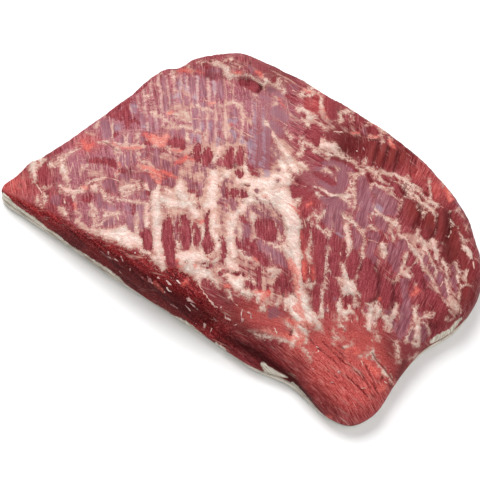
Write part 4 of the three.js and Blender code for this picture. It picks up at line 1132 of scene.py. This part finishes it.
def add_node(tree, kind, inputs=None, stops=(), **settings):
    """Adds a shader node with its settings. inputs gives a socket, by name or number, a value, a
    hex colour, a link, or a node, which stands for its first output; stops gives a colour ramp
    its positions and colours."""
    node = tree.nodes.new("ShaderNode" + kind)
    for name, value in settings.items():
        setattr(node, name, value)
    for name, value in (inputs or {}).items():
        if isinstance(value, bpy.types.Node):
            value = value.outputs[0]
        if isinstance(value, bpy.types.NodeSocket):
            tree.links.new(value, node.inputs[name])
        else:
            node.inputs[name].default_value = to_linear(value) if isinstance(value, str) else value
    for _ in stops[2:]:
        node.color_ramp.elements.new(0.5)
    for element, (position, colour) in zip(node.color_ramp.elements if stops else (), stops):
        element.position = position
        element.color = to_linear(colour) if isinstance(colour, str) else colour
    return node


def new_material(name):
    """An empty node material and its tree."""
    material = bpy.data.materials.new(name)
    material.use_nodes = True
    material.node_tree.nodes.clear()
    return material, material.node_tree


def inside(tree, distance, push, amount, outer, inner, strength=1.0):
    """0 beyond a tissue's outer edge and strength within its inner one, both edges pushed to
    and fro by noise. Distances are in pixels of the view, about 1 mm each."""
    moved = add_node(tree, "Math", {0: push, 1: amount, 2: distance}, operation="MULTIPLY_ADD")
    return add_node(
        tree, "MapRange", {0: moved, 1: outer, 2: inner, 4: strength}, interpolation_type="SMOOTHSTEP")


def layered(tree, base, layers):
    """Tissues laid one over another: each is a colour and the mask that shows where it is."""
    for colour, mask in layers:
        base = add_node(tree, "Mix", {0: mask, 6: base, 7: colour}, data_type="RGBA").outputs[2]
    return base


def finish_wet(tree, colour, height, depth, specular):
    """The common end of the wet tissues' materials: a soft gloss, a little light let in, and
    relief of a real depth."""
    bump = add_node(tree, "Bump", {"Height": height, "Strength": 0.6, "Distance": depth})
    shader = add_node(tree, "BsdfPrincipled", {
        "Base Color": colour, "Roughness": 0.45, "IOR": 1.33, "Specular IOR Level": specular,
        "Normal": bump, "Subsurface Weight": 0.08, "Subsurface Scale": 1.0,
        "Subsurface Radius": (4 * MM, 1.5 * MM, MM)})
    add_node(tree, "OutputMaterial", {0: shader})


def meat_material(colours):
    """Raw beef: red muscle in parallel fibres, under mauve silverskin, pink membrane and cream fat
    that let it show through where they are thin. Painted shade darkens its clefts, the edges of
    its windows, the cut face, and areas whose darker red is partly the meat's own; painted
    light lifts areas to a more scarlet red, partly the meat's own colour too."""
    material, tree = new_material("raw_beef_muscle_and_fat")
    place = add_node(tree, "TexCoord").outputs["Object"]
    (fat, film, slit), (bare, rose, silver), (blood, rind, rib), (deep, bright, mauve), (cut, veil, shade) = (
        add_node(tree, "SeparateXYZ", {
            0: add_node(tree, "Attribute", attribute_name=name).outputs["Vector"]}).outputs
        for name in ("tissue_fat", "tissue_windows", "tissue_stain", "tissue_areas", "tissue_faces"))
    grain, wisps = (
        add_node(tree, "Attribute", attribute_name=name).outputs["Vector"]
        for name in ("grain", "wisps"))
    # mottling of 8 mm, ragged tissue edges of 3 to 4 mm, and crumbs of 1.5 mm
    mottle, ragged, crumb = (
        add_node(tree, "TexNoise", {
            "Vector": place, "Scale": scale, "Detail": detail, "Roughness": 0.62})
        for scale, detail in ((120, 3), (280, 4), (700, 3)))
    # muscle bundles 2.8 mm wide and fibres 1 mm wide, seams every 10 mm, and wisps of membrane
    # 1.8 and 5 mm wide, all about ten times as long
    bundle, fibre, seam, wisp, sheet = (
        add_node(tree, "TexNoise", {
            "Vector": add_node(tree, "Mapping", {"Vector": flow, "Scale": scale}),
            "Scale": 1, "Detail": detail, "Roughness": 0.6})
        for flow, scale, detail in (
            (grain, (0.36, 0.035, 1), 3), (grain, (1.0, 0.09, 1), 3), (grain, (0.1, 0.012, 1), 1),
            (wisps, (0.55, 0.06, 1), 3), (wisps, (0.2, 0.03, 1), 3)))
    # sums of two noises less their means push the tissue edges: lumpy for fat, streaked elsewhere
    push, streak, trail, grit = (
        add_node(tree, "Math", {
            0: add_node(tree, "Math", {0: one, 1: other}, operation="ADD"), 1: 1.0}, operation="SUBTRACT")
        for one, other in ((crumb, ragged), (fibre, ragged), (wisp, sheet), (crumb, mottle)))
    # thin lines where a smooth noise crosses its mean
    seam_line, wisp_line, vein_line = (
        add_node(tree, "MapRange", {
            0: add_node(tree, "Math", {
                0: add_node(tree, "Math", {0: noise, 1: 0.5}, operation="SUBTRACT")}, operation="ABSOLUTE"),
            1: width, 2: 0.0}, interpolation_type="SMOOTHSTEP")
        for noise, width in ((seam, 0.022), (sheet, 0.03), (ragged, 0.03)))
    # where a noise is far from its mean: dark and pale fibres, pale specks and dark pits
    dark_fibre, pale_fibre, speck, pit = (
        add_node(tree, "MapRange", {0: noise, 1: start, 2: full, 4: strength},
                 interpolation_type="SMOOTHSTEP")
        for noise, start, full, strength in (
            (fibre, 0.48, 0.36, 0.4), (fibre, 0.56, 0.70, 0.35),
            (crumb, 0.57, 0.62, 0.35), (crumb, 0.43, 0.38, 0.3)))
    thick = add_node(tree, "Math", {0: grit, 1: 9.0, 2: fat}, operation="MULTIPLY_ADD")
    thick = add_node(tree, "MapRange", {0: thick, 1: 1.0, 2: -2.6})
    hidden = add_node(tree, "Math", {0: veil, 1: -5.2, 2: 3.2}, operation="MULTIPLY_ADD")
    # masks of silverskin, of darker red that is partly painted shade, of painted shade, of the cut face and
    # of lines
    skin_mask, deep_red_and_shade_mask, shade_mask, cut_mask, seam_mask, wisp_mask, vein_mask = (
        add_node(tree, "Math", {0: area, 1: share}, operation="MULTIPLY")
        for area, share in (
            (mauve, 0.85), (deep, 0.7), (shade, 0.85), (cut, 0.9), (seam_line, mauve), (wisp_line, veil),
            (vein_line, 0.45)))
    skin_speck, cut_speck = (
        add_node(tree, "Math", {0: speck, 1: area}, operation="MULTIPLY")
        for area in (skin_mask, cut_mask))
    strand, banded, end_grain = (
        add_node(tree, "Mix", {0: share, 2: one, 3: other})
        for share, one, other in ((0.65, bundle, fibre), (0.5, mottle, bundle), (0.6, bundle, crumb)))
    crumbly, blend, relief = (
        add_node(tree, "Mix", {0: share, 2: one, 3: other})
        for share, one, other in ((0.3, strand, crumb), (0.35, banded, wisp), (0.5, fibre, ragged)))
    muscle, skin, grey, purple, redder, membrane, scarlet, window, cream, tint, coral, cut_face_in_painted_shade, edge_fat = (
        add_node(tree, "ValToRGB", {0: value}, stops)
        for value, stops in (
            (strand, ((0.40, "#5c1f25"), (0.5, colours.muscle), (0.60, "#9c4b50"))),
            (crumbly, ((0.40, "#854a54"), (0.5, "#965a66"), (0.60, "#a87580"))),
            (fibre, ((0.36, "#84707e"), (0.52, "#9b8492"), (0.66, "#b39ca2"))),
            (bundle, ((0.36, "#7a4d58"), (0.5, colours.silverskin), (0.62, "#9e747d"))),
            (strand, ((0.40, "#68353e"), (0.5, "#844a53"), (0.60, "#9f6a71"))),
            (blend, ((0.41, "#9a6a67"), (0.47, "#af8278"), (0.53, "#bd9686"), (0.6, "#c9aa9a"))),
            (crumbly, ((0.41, "#953532"), (0.5, "#ae4a47"), (0.59, "#c46863"))),
            (crumbly, ((0.41, "#642028"), (0.5, "#83343b"), (0.59, "#9b4e54"))),
            (thick, ((0.0, "#a8766a"), (0.3, "#b99384"), (0.7, "#ccb3a5"), (1.0, "#d7c4b7"))),
            (sheet, ((0.4, "#a98c80"), (0.5, "#c0a296"), (0.6, "#d0b2a4"))),
            (crumb, ((0.36, "#b0413b"), (0.5, "#cb5c52"), (0.66, "#dc8e80"))),
            # the cut face's crumbly end grain, painted darker than the muscle as painted shade
            (end_grain, ((0.40, "#3c0508"), (0.5, "#741316"), (0.60, "#9c3032"))),
            (fibre, ((0.36, "#978a7a"), (0.5, "#c4bbac"), (0.62, "#dad3c6")))))
    purple = layered(tree, redder, ((purple, mauve),))
    # windows take the more scarlet red, partly painted light, the darker red, partly painted shade, and
    # painted shade
    window = layered(tree, window, ((scarlet, bright), ("#702a23", deep_red_and_shade_mask), (SHADED, shade_mask)))
    cream = layered(tree, cream, ((tint, 0.5), ("#a8685f", vein_mask)))
    colour = layered(tree, muscle, (
        (skin, skin_mask),
        # more scarlet red, partly the meat's own colour, partly painted light
        (scarlet, bright),
        # darker red, partly the meat's own colour, partly painted shade
        ("#5a0f0d", deep_red_and_shade_mask),
        ("#521519", dark_fibre),
        ("#c48f86", pale_fibre),
        ("#57151a", pit),
        ("#cf9f95", skin_speck),
        # the cut face, in its painted shade
        (cut_face_in_painted_shade, cut_mask),
        ("#b07472", cut_speck),
        (membrane, seam_mask),
        (membrane, inside(tree, hidden, trail, 17, 1.6, -2.4, 0.75)),
        (cream, inside(tree, hidden, trail, 24, -2.6, -5.5, 0.8)),
        (cream, wisp_mask),
        (membrane, inside(tree, film, trail, 16, 1.6, -3.2, 0.85)),
        (membrane, inside(tree, fat, streak, 16, 3.0, -1.2, 0.75)),
        (SHADED, shade_mask),
        (cream, inside(tree, fat, push, 14, 0.2, -0.4, 0.95)),
        (purple, inside(tree, rose, streak, 9, 1.0, 0.0, 0.9)),
        (grey, inside(tree, silver, trail, 7, 1.6, -0.6, 0.6)),
        ("#c9a49b", inside(tree, rib, streak, 6, 1.3, -1.2, 0.65)),
        # a darker ring at each window's sunken edge: painted shade
        ("#64181f", inside(tree, bare, streak, 9, 0.7, 0.3, 0.6)),
        (window, inside(tree, bare, streak, 9, 0.3, -0.1, 0.95)),
        (coral, inside(tree, blood, push, 8, 1.6, -1.2, 0.72)),
        (edge_fat, inside(tree, rind, streak, 3, 0.9, -0.2)),
        # clefts painted dark: painted shade
        ("#58161a", inside(tree, slit, push, 3, 0.7, -0.8, 0.75)),
    ))
    finish_wet(tree, colour, relief, 1.3 * MM, 0.06)
    return material


def fat_material(colours):
    """Beef fat: firm, waxy and cream, with grey and pink patches and pink veins, and thin and
    pink at its edges."""
    material, tree = new_material("raw_beef_fat")
    place = add_node(tree, "TexCoord").outputs["Object"]
    wisps = add_node(tree, "Attribute", attribute_name="wisps").outputs["Vector"]
    edge, stain, shade = add_node(tree, "SeparateXYZ", {
        0: add_node(tree, "Attribute", attribute_name="tissue_depth").outputs["Vector"]}).outputs
    # patches of 17 mm, mottling of 6 mm and lumps of 2 mm
    patch, mottle, lumps = (
        add_node(tree, "TexNoise", {
            "Vector": place, "Scale": scale, "Detail": 4, "Roughness": 0.62})
        for scale in (60, 170, 480))
    # folds 2.2 mm wide and 10 mm long
    fold = add_node(tree, "TexNoise", {
        "Vector": add_node(tree, "Mapping", {"Vector": wisps, "Scale": (0.45, 0.1, 1)}),
        "Scale": 1, "Detail": 4, "Roughness": 0.6})
    push = add_node(tree, "Math", {
        0: add_node(tree, "Math", {0: mottle, 1: fold}, operation="ADD"), 1: 1.0}, operation="SUBTRACT")
    thick = add_node(tree, "Math", {0: push, 1: 12.0, 2: edge}, operation="MULTIPLY_ADD")
    thick = add_node(tree, "MapRange", {0: thick, 1: 0.6, 2: -3.4})
    off_mean = add_node(tree, "Math", {
        0: add_node(tree, "Math", {0: fold, 1: 0.5}, operation="SUBTRACT")},
        operation="ABSOLUTE")
    blush, vein = (
        add_node(tree, "MapRange", {0: value, 1: start, 2: full, 4: 0.75},
                 interpolation_type="SMOOTHSTEP")
        for value, start, full in ((fold, 0.49, 0.37), (off_mean, 0.035, 0.0)))
    cream, tint, coral = (
        add_node(tree, "ValToRGB", {0: value}, stops)
        for value, stops in (
            (thick, ((0.0, "#b27e71"), (0.2, "#c29a8d"), (0.45, "#d0b6a8"), (0.75, "#ddcabd"),
                     (1.0, colours.fat))),
            (patch, ((0.40, "#958379"), (0.5, "#cfb6aa"), (0.60, "#d6a89e"))),
            (lumps, ((0.36, "#b0453b"), (0.5, "#c8675a"), (0.66, "#d9958a")))))
    colour = layered(tree, cream, (
        (tint, 0.5),
        ("#b88a80", blush),
        ("#a8685f", vein),
        (coral, inside(tree, stain, push, 8, 1.6, -1.2, 0.72)),
        (SHADED, shade),
    ))
    finish_wet(tree, colour, lumps, 1.2 * MM, 0.2)
    return material


def mottled_material(name, stops, flat=0.5):
    """Firm, waxy fat in one run of colours, mottled in lumps about 13 mm across where meat or
    blood shows through; a greater flat presses the mottling into level layers."""
    material, tree = new_material(name)
    place = add_node(tree, "TexCoord").outputs["Object"]
    layers = add_node(tree, "Mapping", {"Vector": place, "Scale": (0.5, 0.5, flat)})
    lumps = add_node(tree, "TexNoise", {"Vector": layers, "Scale": 150, "Detail": 5, "Roughness": 0.6})
    bump = add_node(tree, "Bump", {"Height": lumps, "Strength": 0.4, "Distance": 1.5 * MM})
    shader = add_node(tree, "BsdfPrincipled", {
        "Base Color": add_node(tree, "ValToRGB", {0: lumps}, stops), "Roughness": 0.5, "IOR": 1.33,
        "Normal": bump})
    add_node(tree, "OutputMaterial", {0: shader})
    return material


# ---------------------------------------------------------------- settings
class BrisketMeat(bpy.types.PropertyGroup):
    """How finely the slab is made, and the depths of its relief"""

    steps_long: bpy.props.IntProperty(name="Steps along", description="Steps along the slab", default=322)
    steps_wide: bpy.props.IntProperty(name="Steps across", description="Steps across the slab", default=222)
    steps_rim: bpy.props.IntProperty(name="Rim rings", description="Rings up the slab's side", default=20)
    fat_height: bpy.props.FloatProperty(
        name="Fat height", description="How far fat stands above the meat", default=0.25 * MM, unit="LENGTH")
    window_depth: bpy.props.FloatProperty(
        name="Window depth", description="How deep the trimmed muscle lies", default=0.8 * MM, unit="LENGTH")
    slit_depth: bpy.props.FloatProperty(
        name="Slit depth", description="Depth of the dark slits", default=1.3 * MM, unit="LENGTH")


def colour_setting(name, description, hex_colour):
    """A colour that a user can pick, with its default."""
    return bpy.props.FloatVectorProperty(
        name=name, description=description, default=to_linear(hex_colour), size=4, min=0, max=1,
        subtype="COLOR")


class BrisketColours(bpy.types.PropertyGroup):
    """Main colours of the tissues and of the floor"""

    muscle: colour_setting("Muscle", "Middle colour of the lean meat", "#82353a")
    silverskin: colour_setting("Silverskin", "Middle colour of muscle under silverskin", "#8e606a")
    fat: colour_setting("Fat", "Colour of the thickest fat", "#efe2d8")
    cap: colour_setting("Fat cap", "Middle colour of the fat cap", "#cbc2b4")
    floor: colour_setting("Floor", "Colour of the floor", "#f4f4f4")


class BrisketStage(bpy.types.PropertyGroup):
    """The floor's size and the strength of the light"""

    floor_size: bpy.props.FloatProperty(
        name="Floor size", description="Side of the floor", default=6.0, unit="LENGTH")
    light: bpy.props.FloatProperty(name="Light", description="Power of the key light in watts", default=56.0)


# ---------------------------------------------------------------- pieces
def slab_middle():
    """Middle of the slab's footprint, which the model's origin stands under."""
    line, outward, edge = rim_line(2 * FRAME_STEPS_LONG, 2 * FRAME_STEPS_WIDE)
    heights = np.linspace(0, CAP_THICKNESS, 5)
    spread = np.concatenate([line, *(cap_outline(line, outward, edge[:, 3], height) for height in heights)])
    return (spread.max(0) + spread.min(0)) / 2


def meat_surface(look):
    """The slab of meat: rings from its underside to the widest line along a quarter circle,
    rings on up to the top edge along a quarter superellipse, then the blended top with a
    crown of four-way parabolas."""
    line, outward, edge = rim_line(look.steps_long, look.steps_wide)
    line = line - slab_middle()
    height, inset, square = edge[:, 0], edge[:, 1], edge[:, 2]
    rings = []
    for z in np.linspace(CAP_THICKNESS + LAYER_GAP, WIDEST_HEIGHT, 4)[:-1]:
        rings.append(np.column_stack([line - outward * drawn_in(z), np.full(len(line), z)]))
    for angle in np.linspace(0, pi / 2, look.steps_rim + 1):
        back = inset * (1 - max(cos(angle), 0) ** (2 / square))
        rise = WIDEST_HEIGHT + (height - WIDEST_HEIGHT) * sin(angle) ** (2 / square)
        rings.append(np.column_stack([line - outward * back[:, None], rise]))
    grid, u, v = blended_grid(rings[-1], look.steps_long, look.steps_wide)
    grid[..., 2] += CROWN * 16 * u * (1 - u) * v * (1 - v)
    return closed_slab(rings, grid, look.steps_long, look.steps_wide, True)


def wrapped(across, along, points, seen):
    """Two distances of the view where it shows the slab, and on the hidden sides the height
    and the way round the slab in their place."""
    around = np.arctan2(points[:, 1], points[:, 0]) * HALF_LENGTH
    return across * seen + points[:, 2] * (1 - seen), along * seen + around * (1 - seen)


def fibre_flow(spots, points, cut, seen):
    """Distances across and along the muscle fibres. On top they fan out, upright at the left
    and leaning to the right; on the cut face and the near slope they run down to the right;
    on the hidden sides they run round the slab."""
    x, y = spots.T
    leaning = 0.5 * smooth_step(*FAN_LEANS, x) * smooth_step(*FAN_FALLS, y)
    top = x + (leaning - 0.1) * (y - FAN_LEVEL)
    slope = np.maximum(cut, smooth_step(0, 40, y - 0.25 * x - SLOPE_TOP))
    band = smooth_step(*BAND_LEFT, x) * smooth_step(*BAND_RIGHT, x) * smooth_step(*BAND_FOOT, y)
    lean = np.clip(slope + band, 0, 1)
    turn = np.where(slope > band, 0.72 + 0.35 * smooth_step(*SLOPE_STEEPENS, x), 0.5)
    right, down = x - SLOPE_MIDDLE[0], y - SLOPE_MIDDLE[1]
    across = top * (1 - lean) + (down * np.cos(turn) - right * np.sin(turn)) * lean
    along = y * (1 - lean) + (right * np.cos(turn) + down * np.sin(turn)) * lean
    return wrapped(across, along, points, seen)


def wisp_flow(spots, points, seen):
    """Distances across and along the wisps of membrane, which cross the fibres: parabolas of
    the view, nearly level at the left and falling ever more steeply to the right. On the
    hidden sides they run level round the slab."""
    x, y = spots.T
    across = y - 0.12 * x - 0.0013 * np.clip(x - WISPS_FALL, 0, None) ** 2
    return wrapped(across, x, points, seen)


def meat_tissues(points, facing):
    """What lies at each point of the meat: the distance in pixels to the edge of each tissue,
    negative inside it; shares of 0 to 1 of each soft area; and the flows of grain and wisps."""
    seen = smooth_step(-0.05, 0.12, facing @ BACK)
    hidden = 1 - seen
    flat, spots = tissue_spots(points)
    steady = 0.7 * flat + 0.3 * spots
    at = {"seen": seen}
    for name, tissue in (
        ("fat", strokes_between(FAT, STRAND_WIDTH, REACH)), ("film", FILM), ("bare", BARE), ("rose", ROSE),
        ("silver", SILVER), ("blood", BLOOD),
    ):
        at[name] = stroke_distance(spots, tissue) + hidden * REACH
    at["fat"] += noise_sum(points, FAT_EDGE)
    # on the hidden sides, fat seams lie along the slab where a stretched noise is high
    layers = lattice_noise(points * (0.35, 0.35, 1.1), 9, 21) + 0.5 * lattice_noise(points, 6, 22)
    at["fat"] = at["fat"] * seen + hidden * (4 - 11 * layers)
    at["slit"] = stroke_distance(steady, SLITS) + hidden * REACH
    at["rib"] = stroke_distance(steady, RIBS) + hidden * REACH
    at["rind"] = stroke_distance(steady, RIND) + REACH * smooth_step(*RIND_FADES, points[:, 2])
    edge = np.interp(spots[:, 0], *np.array(CUT_EDGE, float).T)
    cut = smooth_step(-1.5, 2, spots[:, 1] - edge) * (1 - 0.6 * smooth_step(*CUT_FADES, spots[:, 0]))
    cut *= smooth_step(*CUT_ENDS, spots[:, 0]) * (facing[:, 1] < 0.3)
    at["cut"], at["shade"] = cut, soft_strokes(flat, PAINTED_SHADE) * seen
    # darker areas of meat, partly painted shade, and more scarlet ones, partly painted light
    for name, areas in (("deep", DEEP_RED_AND_PAINTED_SHADE), ("bright", BRIGHT_RED_AND_PAINTED_LIGHT), ("mauve", MAUVE), ("veil", VEIL)):
        at[name] = soft_areas(spots, areas) * seen
    at["deep"] += 0.7 * hidden
    at["grain"] = fibre_flow(flat, points, cut, seen)
    at["wisps"] = wisp_flow(flat, points, seen)
    return at


def meat_relief(at, points, look):
    """Fine relief of the meat in millimetres: fat, sinews and the lapping edge of the cap stand
    up, windows and slits are sunk, and bundles and swells roll the rest."""
    rise = 0.5 * smooth_step(1, -3, at["fat"]) * (1 - 0.5 * at["seen"])
    rise -= look.window_depth / MM * np.exp(-((at["bare"] + 0.6) / 1.1) ** 2)
    rise -= 0.4 * smooth_step(0, -2, at["rose"])
    rise -= look.slit_depth / MM * smooth_step(0.6, -0.8, at["slit"])
    rise += 0.6 * smooth_step(0.5, -1, at["rind"]) + 0.3 * smooth_step(0.8, -0.8, at["rib"])
    across, along = at["grain"]
    bundles = np.column_stack([across / BUNDLE_WIDTH, along / BUNDLE_LENGTH, np.zeros(len(points))])
    rise += 0.5 * lattice_noise(bundles, 1.0, 5) + noise_sum(points, MEAT_SWELLS)
    return rise * smooth_step(CAP_THICKNESS + 1, WIDEST_HEIGHT, points[:, 2])


class BRISKET_OT_meat(bpy.types.Operator):
    """Adds the slab of lean meat with its relief and the tissues on its surface"""

    bl_idname = "brisket.meat"
    bl_label = "Add lean meat"

    def execute(self, context):
        look = context.scene.brisket_meat
        points, quads, fan = meat_surface(look)
        piece = new_piece("lean_meat", points, quads, fan)
        middle = np.append(slab_middle(), 0)
        forms = FORMS.astype(float)
        forms[:, :3] -= middle
        forms[:, 3:6] -= middle
        points = points + surface_directions(piece) * form_rise(points, forms)[:, None]
        move_points(piece, points)
        facing = surface_directions(piece)
        at = meat_tissues(points, facing)
        move_points(piece, points + facing * meat_relief(at, points, look)[:, None])
        for attribute, names in (
            ("tissue_fat", ("fat", "film", "slit")),
            ("tissue_windows", ("bare", "rose", "silver")),
            ("tissue_stain", ("blood", "rind", "rib")),
            ("tissue_areas", ("deep", "bright", "mauve")),
            ("tissue_faces", ("cut", "veil", "shade")),
        ):
            store(piece, attribute, [at[name] for name in names])
        store(piece, "grain", at["grain"])
        store(piece, "wisps", at["wisps"])
        piece.data.materials.append(meat_material(context.scene.brisket_colours))
        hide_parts("lean")
        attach(piece, "root")
        return {"FINISHED"}


class BRISKET_OT_fat(bpy.types.Operator):
    """Adds the sheets of fat that lie on the meat, its fine strands, and its flecks of marbling with painted
    glints among them
    """

    bl_idname = "brisket.fat"
    bl_label = "Add fat"

    def execute(self, context):
        height = context.scene.brisket_meat.fat_height / MM
        meat = bpy.data.objects["lean_meat"]
        points, quads = mesh_arrays(meat)
        facing = surface_directions(meat)
        shown = (facing @ BACK > 0.06)[quads].all(1)
        edge = sheet_rise(points, height)[1]["tissue_depth"][0]
        chosen = shown & (edge[quads].min(1) < SHEET_MARGIN)
        sheets = tissue_sheet("fat_sheets", points, facing, quads, chosen, height)
        sheets.data.materials.append(fat_material(context.scene.brisket_colours))
        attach(sheets, "root")
        flat = view_pixels(points)
        for name, groups, stops in (
            ("fat_strands", strokes_between(FAT, 0, STRAND_WIDTH), (
                (0.38, "#a5645b"), (0.5, "#bd9082"), (0.6, "#cfab9c"))),
            # specks of marbling and gristle, some of them painted glints of wet light
            ("marbling_flecks_and_glints", FLECKS_AND_GLINTS, ((0.36, "#824648"), (0.5, "#b08782"), (0.64, "#d2b7ae"))),
        ):
            laid = [stroke for strokes in groups.values() for stroke in strokes]
            strands = new_piece(name, *strand_skins(laid, flat, points, facing))
            strands.data.materials.append(mottled_material("raw_beef_" + name, stops))
            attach(strands, "root")
        return {"FINISHED"}


class BRISKET_OT_cap(bpy.types.Operator):
    """Adds the fat cap under the meat"""

    bl_idname = "brisket.cap"
    bl_label = "Add fat cap"

    def execute(self, context):
        look = context.scene.brisket_meat
        line, outward, edge = rim_line(look.steps_long, look.steps_wide)
        line = line - slab_middle()
        rings = []
        for height in np.linspace(CAP_THICKNESS, 0, CAP_RINGS):
            outline = cap_outline(line, outward, edge[:, 3], height)
            rings.append(np.column_stack([outline, np.full(len(line), height)]))
        grid, _, _ = blended_grid(rings[-1], look.steps_long, look.steps_wide)
        points, quads, fan = closed_slab(rings, grid, look.steps_long, look.steps_wide, False)
        piece = new_piece("fat_cap_layer", points, quads, fan)
        stops = ((0.36, "#a3988a"), (0.5, context.scene.brisket_colours.cap), (0.64, "#e0d9cc"))
        piece.data.materials.append(mottled_material("raw_beef_fat_cap", stops, 4.0))
        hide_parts("fat_cap")
        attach(piece, "root")
        return {"FINISHED"}


class BRISKET_OT_stage(bpy.types.Operator):
    """Adds the floor, the lights and the camera"""

    bl_idname = "brisket.stage"
    bl_label = "Add stage"

    def execute(self, context):
        look = context.scene.brisket_stage
        half = look.floor_size / 2 / MM
        corners = np.array([(-half, -half, 0), (half, -half, 0), (half, half, 0), (-half, half, 0)], float)
        floor = new_piece("floor", corners, np.array([[0, 1, 2, 3]]))
        material, tree = new_material("pale_matt_board")
        shader = add_node(tree, "BsdfPrincipled", {
            "Base Color": context.scene.brisket_colours.floor, "Roughness": 0.9})
        add_node(tree, "OutputMaterial", {0: shader})
        floor.data.materials.append(material)
        # places and sizes in metres, and shares of the key light's power
        for name, spot, size, share in (
            ("key", (-1.1, 0.6, 1.8), 1.6, 1.0),
            ("fill", (1.2, -0.3, 1.4), 1.6, 0.2),
        ):
            light = bpy.data.lights.new(name, "AREA")
            light.size, light.energy = size, look.light * share
            holder = bpy.data.objects.new(name, light)
            holder.location = spot
            holder.rotation_euler = (-Vector(spot)).to_track_quat("-Z", "Y").to_euler()
            context.scene.collection.objects.link(holder)
        world = bpy.data.worlds.new("studio")
        world.use_nodes = True
        world.node_tree.nodes["Background"].inputs[0].default_value = (1, 1, 1, 1)
        world.node_tree.nodes["Background"].inputs[1].default_value = 0.5
        context.scene.world = world
        context.scene.view_settings.view_transform = "Standard"
        camera = bpy.data.cameras.new("camera")
        camera.lens, camera.sensor_width = LENS, SENSOR
        holder = bpy.data.objects.new("camera", camera)
        holder.location = Vector(EYE)
        holder.rotation_euler = Vector(-BACK).to_track_quat("-Z", "Y").to_euler()
        context.scene.collection.objects.link(holder)
        context.scene.camera = holder
        return {"FINISHED"}


class BRISKET_PT_panel(bpy.types.Panel):
    """Lists the brisket's pieces"""

    bl_label = "Brisket"
    bl_space_type = "VIEW_3D"
    bl_region_type = "UI"
    bl_category = "Brisket"

    def draw(self, context):
        for operator in OPERATORS:
            self.layout.operator(operator.bl_idname)


OPERATORS = (BRISKET_OT_meat, BRISKET_OT_fat, BRISKET_OT_cap, BRISKET_OT_stage)
CLASSES = (BrisketMeat, BrisketColours, BrisketStage, *OPERATORS, BRISKET_PT_panel)


def register():
    for group in CLASSES:
        bpy.utils.register_class(group)
    bpy.types.Scene.brisket_meat = bpy.props.PointerProperty(type=BrisketMeat)
    bpy.types.Scene.brisket_colours = bpy.props.PointerProperty(type=BrisketColours)
    bpy.types.Scene.brisket_stage = bpy.props.PointerProperty(type=BrisketStage)


def unregister():
    del bpy.types.Scene.brisket_stage
    del bpy.types.Scene.brisket_colours
    del bpy.types.Scene.brisket_meat
    for group in reversed(CLASSES):
        bpy.utils.unregister_class(group)


def main():
    register()
    bpy.ops.brisket.meat()
    bpy.ops.brisket.fat()
    bpy.ops.brisket.cap()
    bpy.ops.brisket.stage()


if __name__ == "__main__":
    main()
